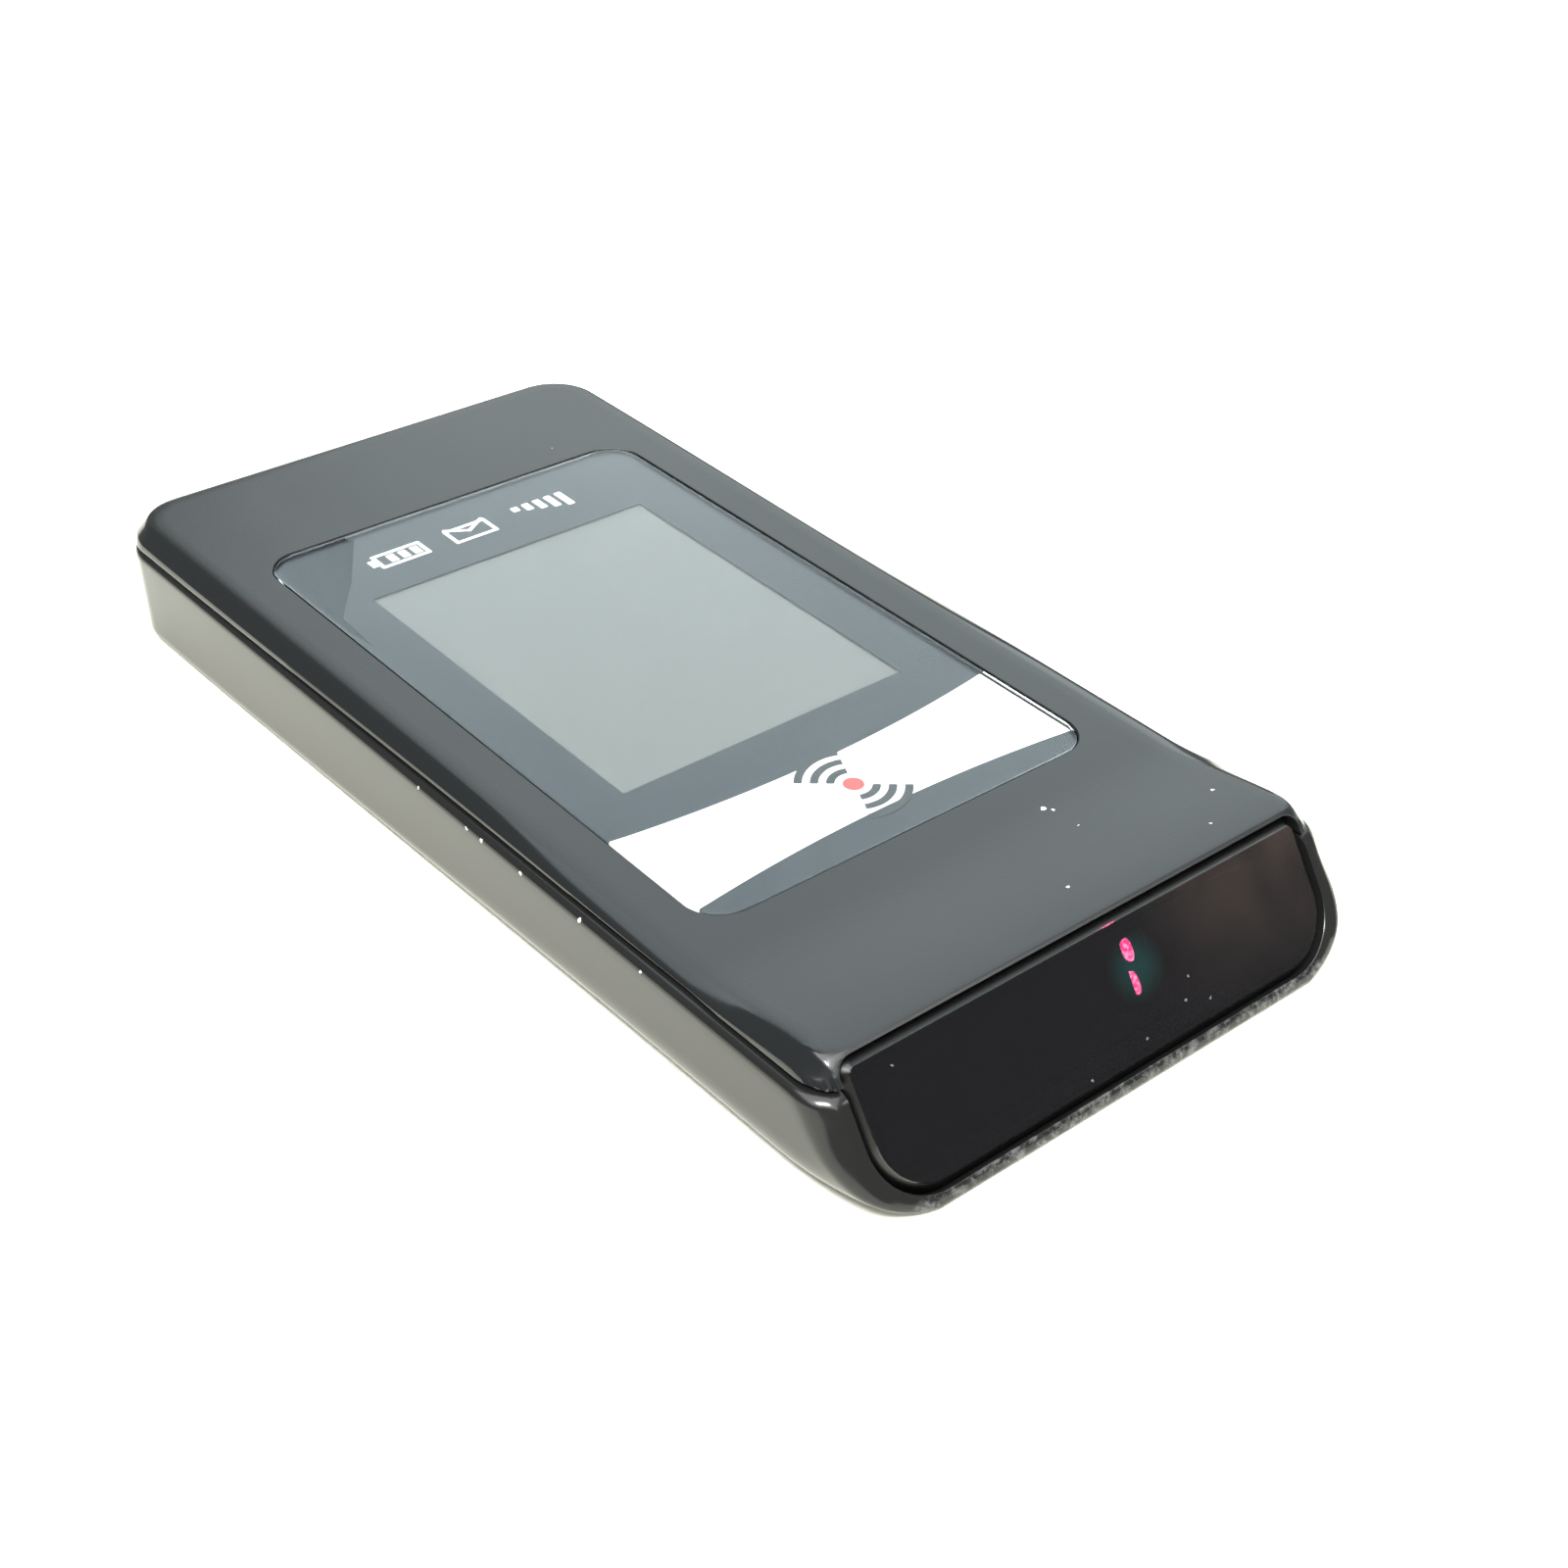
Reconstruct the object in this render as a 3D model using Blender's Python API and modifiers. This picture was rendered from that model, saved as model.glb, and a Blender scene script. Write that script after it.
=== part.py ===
"""Slim staff pager with a display and a slanted alert window, as separate pieces.

Each piece is drawn in face coordinates: z = 0 is the flat front face, x runs across,
y runs from the alert window at -y to the charging end at +y. The body is a thin wedge,
so an empty, the parent of every piece, tips the face until the back lies flat on z = 0.
"""

import math

import bmesh
import bpy
from mathutils import Matrix, Vector

MM = 0.001

# ---- driving dimensions of the body ----
HALF_WIDTH = 28.4 * MM
SIDE_DRAFT = 0.054
FAR_END = 54.0 * MM
BACK_DEPTH = 11.643 * MM
BACK_SLOPE = 0.02328
RAMP_START = -39.0 * MM
RAMP_LENGTH = 15.5 * MM
RAMP_STEPS = 6
CREST_Y = -54.4 * MM
CREST_Z = 1.75 * MM
WINDOW_ANGLE = math.radians(55.3)
FAR_CORNER = 6.5 * MM
NEAR_CORNER = 2.8 * MM
LIP_CORNER = 8.0 * MM
LIP_DOWN = 14.5 * MM
LIP_FACETS = 3
EDGE_ROUND = 0.5 * MM

# ---- walls, gaps and the parting line ----
GAP = 0.3 * MM
THIN_GAP = 0.15 * MM
SIDE_WALL = 1.8 * MM
FACE_WALL = 2.2 * MM
WINDOW_WALL = 2.8 * MM
SEAM_DEPTH = 2.53 * MM
SEAM_SLOPE = 0.01134

# ---- display ----
LENS_SIZE = (43.1 * MM, 70.7 * MM)
LENS_THICK = 1.0 * MM
LENS_CORNER = 3.2 * MM
RING_THICK = 0.2 * MM
SCREEN_X = (-18.4 * MM, 18.4 * MM)
SCREEN_Y = (-18.4 * MM, 31.0 * MM)
SCREEN_TOP = -1.15 * MM
SCREEN_BOTTOM = -2.65 * MM
TRAY_TOP = -2.35 * MM
TRAY_BOTTOM = -4.9 * MM
TRAY_WALL = 0.8 * MM

# ---- alert window, measured down the slope from the crest ----
WINDOW_HALF = 25.3 * MM
WINDOW_DOWN = (0.8 * MM, 12.9 * MM)
WINDOW_THICK = 1.5 * MM
WINDOW_TOP_CORNER = 1.2 * MM
WINDOW_LOW_CORNER = 5.6 * MM
SIGHT_HALF = 23.6 * MM
SIGHT_DOWN = (2.2 * MM, 10.4 * MM)
LIGHT_BOARD_DEPTH = 3.4 * MM
LIGHT_X = (5.4 * MM, 4.95 * MM)
LIGHT_DOWN = (4.45 * MM, 7.15 * MM)

# ---- inside ----
BOARD_TOP = -5.2 * MM
BOARD_BOTTOM = -6.0 * MM
MOTOR_Y = -42.0 * MM
MOTOR_Z = -5.6 * MM
SOUNDER_AT = (12.0 * MM, -43.0 * MM)
SCREWS_AT = [(-23.0 * MM, -45.5 * MM), (23.0 * MM, -45.5 * MM),
             (-22.5 * MM, 46.5 * MM), (22.5 * MM, 46.5 * MM)]
CONTACTS_AT = {"left": (-21.0 * MM, 36.0 * MM), "right": (21.0 * MM, 36.0 * MM)}
KEY_Y = 12.0 * MM
KEY_Z = -7.0 * MM
LABEL_AT = (0.0, 8.0 * MM)
LABEL_SIZE = (36.0 * MM, 46.0 * MM)

WINDOW_COS = math.cos(WINDOW_ANGLE)
WINDOW_SIN = math.sin(WINDOW_ANGLE)
FACE_TILT = math.atan(BACK_SLOPE)


# ---- the scene, the empty that tips the pager, materials ----
for leftover in list(bpy.data.objects):
    bpy.data.objects.remove(leftover, do_unlink=True)

parts = bpy.data.collections.new("pager")
cutters = bpy.data.collections.new("cutters")
bpy.context.scene.collection.children.link(parts)
bpy.context.scene.collection.children.link(cutters)

tip = bpy.data.objects.new("tip", None)
tip.location = (0.0, 0.0, BACK_DEPTH * math.cos(FACE_TILT))
tip.rotation_euler = (FACE_TILT, 0.0, 0.0)
parts.objects.link(tip)


def material(name, colour, roughness, metallic=0.0):
    finish = bpy.data.materials.new(name)
    finish.use_nodes = True
    shader = finish.node_tree.nodes["Principled BSDF"]
    shader.inputs["Base Color"].default_value = (*colour, 1.0)
    shader.inputs["Roughness"].default_value = roughness
    shader.inputs["Metallic"].default_value = metallic
    return finish


FINISHES = {
    "shell": material("shell", (0.028, 0.032, 0.034), 0.3),
    "lens": material("lens", (0.05, 0.065, 0.075), 0.08),
    "screen": material("screen", (0.36, 0.39, 0.37), 0.25),
    "window": material("window", (0.012, 0.01, 0.012), 0.06),
    "adhesive": material("adhesive", (0.03, 0.03, 0.03), 0.8),
    "tray": material("tray", (0.8, 0.8, 0.78), 0.5),
    "light_guide": material("light_guide", (0.85, 0.87, 0.9), 0.3),
    "flex": material("flex", (0.55, 0.28, 0.08), 0.4),
    "socket": material("socket", (0.75, 0.72, 0.65), 0.5),
    "board": material("board", (0.02, 0.18, 0.09), 0.4),
    "chip": material("chip", (0.02, 0.02, 0.02), 0.5),
    "steel": material("steel", (0.6, 0.6, 0.6), 0.3, 1.0),
    "gold": material("gold", (0.9, 0.65, 0.25), 0.25, 1.0),
    "brass": material("brass", (0.7, 0.55, 0.3), 0.3, 1.0),
    "cell": material("cell", (0.35, 0.37, 0.42), 0.35, 0.6),
    "rubber": material("rubber", (0.05, 0.05, 0.05), 0.8),
    "light": material("light", (0.9, 0.05, 0.2), 0.3),
    "key": material("key", (0.03, 0.03, 0.035), 0.45),
    "label": material("label", (0.6, 0.6, 0.6), 0.6),
}


# ---- ways to make a solid ----
def add_object(name, mesh, finish=None, place=None):
    """Link a mesh under the tip empty: a part with a finish, or a cutter without one."""
    item = bpy.data.objects.new(name, mesh)
    item.parent = tip
    item.matrix_basis = place or Matrix.Identity(4)
    if finish:
        mesh.materials.append(FINISHES[finish])
        parts.objects.link(item)
    else:
        item.hide_render = True
        item.display_type = "WIRE"
        cutters.objects.link(item)
    return item


def mesh_from(work, name):
    bmesh.ops.recalc_face_normals(work, faces=work.faces)
    mesh = bpy.data.meshes.new(name)
    work.to_mesh(mesh)
    work.free()
    return mesh


def block(name, low, high, finish=None, corner=0.0, edge=0.0, segments=3, place=None):
    """A box between two corners, with its upright corners and its rims rounded."""
    size = [b - a for a, b in zip(low, high)]
    middle = [(a + b) / 2 for a, b in zip(low, high)]
    work = bmesh.new()
    bmesh.ops.create_cube(work, size=1.0)
    bmesh.ops.scale(work, vec=size, verts=work.verts)
    if corner:
        upright = [e for e in work.edges if abs(e.verts[0].co.z - e.verts[1].co.z) > size[2] / 2]
        bmesh.ops.bevel(work, geom=upright, offset=corner, segments=segments, profile=0.5,
                        affect="EDGES")
    if edge:
        rims = [e for e in work.edges if abs(e.verts[0].co.z - e.verts[1].co.z) < size[2] / 2]
        bmesh.ops.bevel(work, geom=rims, offset=edge, segments=2, profile=0.5, affect="EDGES")
    bmesh.ops.translate(work, vec=middle, verts=work.verts)
    return add_object(name, mesh_from(work, name), finish, place)


def disc(name, centre, radius, length, axis="Z", sides=24, finish=None):
    """A closed cylinder about its centre, along X or Z."""
    turn = Matrix.Rotation(math.radians(90), 4, "Y") if axis == "X" else Matrix.Identity(4)
    work = bmesh.new()
    bmesh.ops.create_cone(work, cap_ends=True, segments=sides, radius1=radius, radius2=radius,
                          depth=length, matrix=Matrix.Translation(centre) @ turn)
    return add_object(name, mesh_from(work, name), finish)


def flat_solid(name, outlines, thickness, place, finish=None):
    """A plate from closed flat outlines; an outline inside another is a hole."""
    curve = bpy.data.curves.new(name, "CURVE")
    curve.dimensions = "2D"
    curve.fill_mode = "BOTH"
    curve.extrude = thickness / 2
    for points in outlines:
        spline = curve.splines.new("POLY")
        spline.points.add(len(points) - 1)
        spline.use_cyclic_u = True
        for knot, (across, along) in zip(spline.points, points):
            knot.co = (across, along, 0.0, 1.0)
    sketch = bpy.data.objects.new(name + "_sketch", curve)
    cutters.objects.link(sketch)
    bpy.context.view_layer.update()
    drawn = sketch.evaluated_get(bpy.context.evaluated_depsgraph_get())
    work = bmesh.new()
    work.from_mesh(bpy.data.meshes.new_from_object(drawn))
    bmesh.ops.remove_doubles(work, verts=work.verts, dist=1e-6)
    bpy.data.objects.remove(sketch, do_unlink=True)
    return add_object(name, mesh_from(work, name), finish, place)


def rounded_outline(x_span, y_span, low_corner, high_corner, steps=6):
    """A rectangle whose corners at low y and at high y have their own radii."""
    (x0, x1), (y0, y1) = x_span, y_span
    corners = [(x0, y0, low_corner, 180), (x1, y0, low_corner, 270),
               (x1, y1, high_corner, 0), (x0, y1, high_corner, 90)]
    points = []
    for x, y, radius, start in corners:
        centre_x = x + radius if x == x0 else x - radius
        centre_y = y + radius if y == y0 else y - radius
        for step in range(steps + 1):
            angle = math.radians(start + 90 * step / steps)
            points.append((centre_x + radius * math.cos(angle),
                           centre_y + radius * math.sin(angle)))
    return points


def level(z):
    """Lay a flat outline in a plane parallel to the face."""
    return Matrix.Translation((0.0, 0.0, z))


def across_body(x):
    """Stand a (y, z) outline up, so that its thickness runs along x."""
    return Matrix(((0, 0, 1, x), (1, 0, 0, 0), (0, 1, 0, 0), (0, 0, 0, 1)))


def on_window(depth):
    """Lay an outline on the window's slope: x across, y up the slope, z outwards."""
    crest = Vector((0.0, CREST_Y, CREST_Z))
    inward = Vector((0.0, WINDOW_SIN, -WINDOW_COS)) * depth
    place = Matrix(((1, 0, 0, 0), (0, WINDOW_COS, -WINDOW_SIN, 0),
                    (0, WINDOW_SIN, WINDOW_COS, 0), (0, 0, 0, 1)))
    place.translation = crest + inward
    return place


def cut(target, tool, operation="DIFFERENCE"):
    step = target.modifiers.new(tool.name, "BOOLEAN")
    step.operation = operation
    step.object = tool


def soften(target, width, segments=2, angle=60):
    """Round the edges that are sharper than an angle."""
    step = target.modifiers.new("soften", "BEVEL")
    step.width = width
    step.segments = segments
    step.limit_method = "ANGLE"
    step.angle_limit = math.radians(angle)
    step.use_clamp_overlap = False


# ---- the body's form, shared by the outside and the hollow ----
def face_height(y):
    """The front face: flat, then a smooth ramp up to the crest."""
    along = min(max((RAMP_START - y) / RAMP_LENGTH, 0.0), 1.0)
    return CREST_Z * along * along * (3 - 2 * along)


def back_height(y):
    return -BACK_DEPTH - BACK_SLOPE * y


def body_form(name, side=0.0, face=0.0, window=0.0, finish=None):
    """The wedge body, drawn in by a wall thickness on its sides, face and window end."""
    steepness = math.tan(WINDOW_ANGLE)
    slope_start = CREST_Y - CREST_Z / steepness + window / WINDOW_SIN
    back_start = -BACK_DEPTH + side
    lip_y = (slope_start + back_start / steepness) / (1 + BACK_SLOPE / steepness)
    top_y = slope_start + (CREST_Z - face) / steepness
    far_y = FAR_END - side
    work = bmesh.new()
    bmesh.ops.create_cube(work, size=2.0)
    for vert in work.verts:
        vert.co.y = far_y if vert.co.y > 0 else CREST_Y
    for station in range(RAMP_STEPS):
        y = RAMP_START - RAMP_LENGTH * station / RAMP_STEPS
        bmesh.ops.bisect_plane(work, geom=work.verts[:] + work.edges[:] + work.faces[:],
                               plane_co=(0, y, 0), plane_no=(0, 1, 0))
    for vert in work.verts:
        at_window = abs(vert.co.y - CREST_Y) < 1e-7
        at_top = vert.co.z > 0
        if at_window:
            vert.co.y = top_y if at_top else lip_y
        vert.co.z = face_height(vert.co.y) - face if at_top else back_height(vert.co.y) + side
        vert.co.x = math.copysign(HALF_WIDTH + SIDE_DRAFT * vert.co.z - side, vert.co.x)
    work.edges.ensure_lookup_table()

    def upright(edge, y_low, y_high):
        ends = [v.co for v in edge.verts]
        tall = abs(ends[0].z - ends[1].z) > 5 * MM
        return tall and all(y_low <= end.y <= y_high for end in ends)

    far_edges = [e for e in work.edges if upright(e, far_y - 1e-6, far_y + 1e-6)]
    bmesh.ops.bevel(work, geom=far_edges, offset=FAR_CORNER - side, segments=7, profile=0.5,
                    affect="EDGES")
    near_edges = [e for e in work.edges if upright(e, lip_y - 1e-6, top_y + 1e-6)]
    bmesh.ops.bevel(work, geom=near_edges, offset=NEAR_CORNER - side / 2, segments=4,
                    profile=0.5, affect="EDGES")
    trim_lip(work, side)
    return add_object(name, mesh_from(work, name), finish)


def trim_lip(work, inset):
    """Round the two low corners of the window end with flats that run along its axis."""
    slope = Vector((0.0, -WINDOW_COS, -WINDOW_SIN))
    crest = Vector((0.0, CREST_Y, CREST_Z))
    reach = LIP_CORNER - inset
    for step in range(2 * LIP_FACETS):
        hand = 1 if step % 2 else -1
        angle = math.radians(90) * (step // 2 + 1) / (LIP_FACETS + 1)
        outward = Vector((hand * math.cos(angle), 0.0, 0.0)) + slope * math.sin(angle)
        centre = (crest + Vector((hand * (HALF_WIDTH - LIP_CORNER), 0.0, 0.0))
                  + slope * (LIP_DOWN - LIP_CORNER))
        cutting = bmesh.ops.bisect_plane(work, geom=work.verts[:] + work.edges[:] + work.faces[:],
                                         plane_co=centre + outward * reach, plane_no=outward,
                                         clear_outer=True)
        rim = [g for g in cutting["geom_cut"] if isinstance(g, bmesh.types.BMEdge)]
        bmesh.ops.edgenet_fill(work, edges=rim)


def seam_block(name, above, gap):
    """Everything above, or below, the parting plane, drawn back by half the gap."""
    shift = gap / 2 if above else -gap / 2
    place = (Matrix.Translation((0, 0, -SEAM_DEPTH + shift))
             @ Matrix.Rotation(-math.atan(SEAM_SLOPE), 4, "X"))
    reach = 30 * MM
    low_z, high_z = (0.0, reach) if above else (-reach, 0.0)
    return block(name, (-2 * reach, -3 * reach, low_z), (2 * reach, 3 * reach, high_z),
                 place=place)


# ---- shared cutters ----
def window_outline(grow, half=WINDOW_HALF, down=WINDOW_DOWN, low_corner=WINDOW_LOW_CORNER,
                   top_corner=WINDOW_TOP_CORNER):
    return rounded_outline((-half - grow, half + grow), (-down[1] - grow, -down[0] + grow),
                           low_corner + grow, top_corner + grow)


SIGHT = {"half": SIGHT_HALF, "down": SIGHT_DOWN, "low_corner": 3.0 * MM, "top_corner": 0.8 * MM}
POCKET_DEPTH = WINDOW_THICK + RING_THICK + 2 * THIN_GAP

hollow = body_form("hollow", side=SIDE_WALL, face=FACE_WALL, window=WINDOW_WALL)
upper_side = seam_block("upper_side", True, GAP)
lower_side = seam_block("lower_side", False, GAP)
window_pocket = flat_solid("window_pocket", [window_outline(0.25 * MM)],
                           POCKET_DEPTH + 3 * MM, on_window(POCKET_DEPTH / 2 - 1.5 * MM))
window_sight = flat_solid("window_sight", [window_outline(0.0, **SIGHT)], 6 * MM,
                          on_window(3 * MM))


def screw_seat(at):
    """The back's height over a screw, where its head sits."""
    return back_height(at[1])


# ---- the two shells ----
def front_housing():
    shell = body_form("front_housing", finish="shell")
    soften(shell, EDGE_ROUND, angle=50)
    cut(shell, upper_side, "INTERSECT")
    cut(shell, hollow)
    for index, at in enumerate(SCREWS_AT):
        foot = -4.9 * MM if at[1] > 0 else -6.0 * MM
        length = -1.2 * MM - foot
        post = disc(f"front_post_{index}", (*at, foot + length / 2), 2.3 * MM, length, sides=16)
        cut(shell, post, "UNION")
        pilot = disc(f"pilot_{index}", (*at, foot + 0.5 * MM), 1.0 * MM, 4 * MM, sides=12)
        cut(shell, pilot)
    pocket_floor = LENS_THICK + RING_THICK + 2 * THIN_GAP
    grow = GAP
    lens_hole = rounded_outline((-LENS_SIZE[0] / 2 - grow, LENS_SIZE[0] / 2 + grow),
                                (-LENS_SIZE[1] / 2 - grow, LENS_SIZE[1] / 2 + grow),
                                LENS_CORNER + grow, LENS_CORNER + grow)
    cut(shell, flat_solid("lens_pocket", [lens_hole], 2 * pocket_floor, level(0.0)))
    screen_hole = rounded_outline((SCREEN_X[0] - grow, SCREEN_X[1] + grow),
                                  (SCREEN_Y[0] - grow, SCREEN_Y[1] + grow),
                                  0.6 * MM, 0.6 * MM, steps=2)
    cut(shell, flat_solid("screen_opening", [screen_hole], 6 * MM, level(-1 * MM)))
    cut(shell, window_pocket)
    cut(shell, window_sight)
    return shell


def rear_housing():
    shell = body_form("rear_housing", finish="shell")
    soften(shell, EDGE_ROUND, angle=50)
    cut(shell, lower_side, "INTERSECT")
    cut(shell, hollow)
    for index, at in enumerate(SCREWS_AT):
        seat = screw_seat(at)
        top = -6.3 * MM
        post = disc(f"rear_post_{index}", (*at, (seat + top) / 2 + 0.5 * MM), 2.7 * MM,
                    top - seat - 1 * MM, sides=16)
        cut(shell, post, "UNION")
        head_hole = disc(f"head_hole_{index}", (*at, seat), 2.0 * MM, 3.2 * MM, sides=16)
        cut(shell, head_hole)
        shank_hole = disc(f"shank_hole_{index}", (*at, seat + 4 * MM), 1.15 * MM, 9 * MM,
                          sides=12)
        cut(shell, shank_hole)
    cut(shell, window_pocket)
    cut(shell, window_sight)
    slot = block("key_slot", (24 * MM, KEY_Y - 6.2 * MM, KEY_Z - 1.8 * MM),
                 (32 * MM, KEY_Y + 6.2 * MM, KEY_Z + 1.8 * MM))
    cut(shell, slot)
    for side, at in CONTACTS_AT.items():
        cut(shell, disc(f"contact_hole_{side}", (*at, back_height(at[1])), 2.3 * MM, 5 * MM,
                        sides=20))
    for index in range(5):
        angle = math.radians(72 * index)
        spot = (SOUNDER_AT[0] + 2.6 * MM * math.cos(angle),
                SOUNDER_AT[1] + 2.6 * MM * math.sin(angle))
        cut(shell, disc(f"sound_hole_{index}", (*spot, back_height(spot[1])), 0.6 * MM,
                        5 * MM, sides=8))
    cut(shell, label_plate("label_recess", GAP, 1.0 * MM, None))
    return shell


def label_plate(name, grow, thickness, finish, lift=0.0):
    """A thin plate on the sloping back, centred on the back's surface."""
    half_x, half_y = LABEL_SIZE[0] / 2 + grow, LABEL_SIZE[1] / 2 + grow
    outline = rounded_outline((-half_x, half_x), (-half_y, half_y), 1.5 * MM, 1.5 * MM, steps=3)
    place = (Matrix.Translation((LABEL_AT[0], LABEL_AT[1], back_height(LABEL_AT[1]) + lift))
             @ Matrix.Rotation(-FACE_TILT, 4, "X"))
    return flat_solid(name, [outline], thickness, place, finish)


# ---- display stack ----
def display_stack():
    half = (LENS_SIZE[0] / 2, LENS_SIZE[1] / 2)
    block("display_lens", (-half[0], -half[1], -LENS_THICK), (half[0], half[1], 0.0),
          "lens", corner=LENS_CORNER, edge=0.15 * MM, segments=6)
    inset = 0.3 * MM
    outer = rounded_outline((-half[0] + inset, half[0] - inset),
                            (-half[1] + inset, half[1] - inset), LENS_CORNER, LENS_CORNER)
    inner = rounded_outline((SCREEN_X[0] - 0.6 * MM, SCREEN_X[1] + 0.6 * MM),
                            (SCREEN_Y[0] - 0.6 * MM, SCREEN_Y[1] + 0.6 * MM),
                            0.8 * MM, 0.8 * MM, steps=2)
    ring_z = -LENS_THICK - THIN_GAP - RING_THICK / 2
    flat_solid("lens_adhesive", [outer, inner[::-1]], RING_THICK, level(ring_z), "adhesive")
    block("lcd_panel", (SCREEN_X[0], SCREEN_Y[0], SCREEN_BOTTOM),
          (SCREEN_X[1], SCREEN_Y[1], SCREEN_TOP), "screen", corner=0.4 * MM, segments=2)
    guide_top = SCREEN_BOTTOM - THIN_GAP
    guide_bottom = guide_top - 1.4 * MM
    block("backlight", (SCREEN_X[0] + 0.2 * MM, SCREEN_Y[0] + 0.2 * MM, guide_bottom),
          (SCREEN_X[1] - 0.2 * MM, SCREEN_Y[1] - 0.2 * MM, guide_top), "light_guide")
    wall = TRAY_WALL + THIN_GAP
    tray = block("display_tray", (SCREEN_X[0] - wall, SCREEN_Y[0] - wall, TRAY_BOTTOM),
                 (SCREEN_X[1] + wall, SCREEN_Y[1] + wall, TRAY_TOP), "tray", corner=0.8 * MM)
    cut(tray, block("tray_hollow",
                    (SCREEN_X[0] - THIN_GAP, SCREEN_Y[0] - THIN_GAP, guide_bottom - THIN_GAP),
                    (SCREEN_X[1] + THIN_GAP, SCREEN_Y[1] + THIN_GAP, 0.0)))
    flex_profile = [(32.3, -2.7), (34.1, -2.7), (34.9, -3.0), (35.3, -3.8), (35.6, -4.75),
                    (38.6, -4.75), (38.6, -4.95), (35.4, -4.95), (35.1, -3.85), (34.75, -3.15),
                    (34.0, -2.9), (32.3, -2.9)]
    flat_solid("display_flex", [[(y * MM, z * MM) for y, z in flex_profile]], 12 * MM,
               across_body(0.0), "flex")
    block("display_socket", (-7 * MM, 38.8 * MM, BOARD_TOP + THIN_GAP),
          (7 * MM, 41.4 * MM, BOARD_TOP + 1.3 * MM), "socket")


# ---- alert window and its lights ----
def window_stack():
    middle = WINDOW_THICK / 2
    window = flat_solid("alert_window", [window_outline(0.0)], WINDOW_THICK,
                        on_window(middle), "window")
    soften(window, 0.35 * MM, segments=1)
    ring_depth = WINDOW_THICK + THIN_GAP + RING_THICK / 2
    sight_hole = window_outline(0.2 * MM, **SIGHT)
    flat_solid("window_adhesive", [window_outline(-0.3 * MM), sight_hole[::-1]], RING_THICK,
               on_window(ring_depth), "adhesive")
    board_depth = LIGHT_BOARD_DEPTH + 0.4 * MM
    outline = rounded_outline((-20 * MM, 20 * MM), (-8.9 * MM, -2.3 * MM), 0.8 * MM, 0.8 * MM, 2)
    flat_solid("light_board", [outline], 0.8 * MM, on_window(board_depth), "board")
    for name, x, down in zip(("upper", "lower"), LIGHT_X, LIGHT_DOWN):
        half_x, half_y, tall = 0.5 * MM, 0.95 * MM, 0.7 * MM
        base = -LIGHT_BOARD_DEPTH + THIN_GAP
        block(f"alert_led_{name}", (x - half_x, -down - half_y, base),
              (x + half_x, -down + half_y, base + tall), "light", corner=0.3 * MM,
              edge=0.15 * MM, place=on_window(0.0))


# ---- boards and what sits on them ----
def electronics():
    board = block("main_board", (-24 * MM, -36 * MM, BOARD_BOTTOM),
                  (24 * MM, 50 * MM, BOARD_TOP), "board", corner=2 * MM)
    for index, at in enumerate(SCREWS_AT[2:]):
        cut(board, disc(f"board_hole_{index}", (*at, BOARD_TOP), 1.2 * MM, 4 * MM, sides=16))
    for at in CONTACTS_AT.values():
        side = "left" if at[0] < 0 else "right"
        stem = disc(f"stem_{side}", (*at, (back_height(at[1]) - 6.3 * MM) / 2), 0.8 * MM,
                    -6.3 * MM - back_height(at[1]) - 0.6 * MM, sides=12)
        pad = disc(f"charge_contact_{side}", (*at, back_height(at[1]) + 1.1 * MM), 2.0 * MM,
                   1.8 * MM, sides=20, finish="gold")
        cut(pad, stem, "UNION")
    block("radio_shield", (-18.5 * MM, -34 * MM, BOARD_TOP + THIN_GAP),
          (-1 * MM, -21.5 * MM, BOARD_TOP + 2 * MM), "steel", corner=0.8 * MM, edge=0.2 * MM)
    block("decoder_chip", (5 * MM, -31 * MM, BOARD_TOP + THIN_GAP),
          (14 * MM, -22 * MM, BOARD_TOP + 1.2 * MM), "chip", edge=0.1 * MM)
    loop = [(-17, -5.05), (-17, -2.6), (17, -2.6), (17, -5.05), (16, -5.05), (16, -3.4),
            (-16, -3.4), (-16, -5.05)]
    along_end = Matrix(((1, 0, 0, 0), (0, 0, -1, 49 * MM), (0, 1, 0, 0), (0, 0, 0, 1)))
    flat_solid("loop_antenna", [[(x * MM, z * MM) for x, z in loop]], 0.5 * MM, along_end,
               "steel")
    block("battery_cell", (-17 * MM, -2 * MM, -9.5 * MM), (17 * MM, 47 * MM, -6.3 * MM),
          "cell", corner=1.5 * MM, edge=0.5 * MM)
    block("battery_socket", (-16 * MM, -9 * MM, -8.2 * MM), (-9 * MM, -4 * MM, -6.15 * MM),
          "socket")
    block("flex_socket", (-3 * MM, -35.6 * MM, BOARD_TOP + THIN_GAP),
          (4 * MM, -34.4 * MM, BOARD_TOP + 1.2 * MM), "socket")
    lead = [(-54.15, -6.3), (-46.5, -4.75), (-35.9, -4.55), (-35.9, -4.35), (-46.5, -4.55),
            (-54.3, -6.1)]
    flat_solid("light_flex", [[(y * MM, z * MM) for y, z in lead]], 5 * MM,
               across_body(0.5 * MM), "flex")


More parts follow.
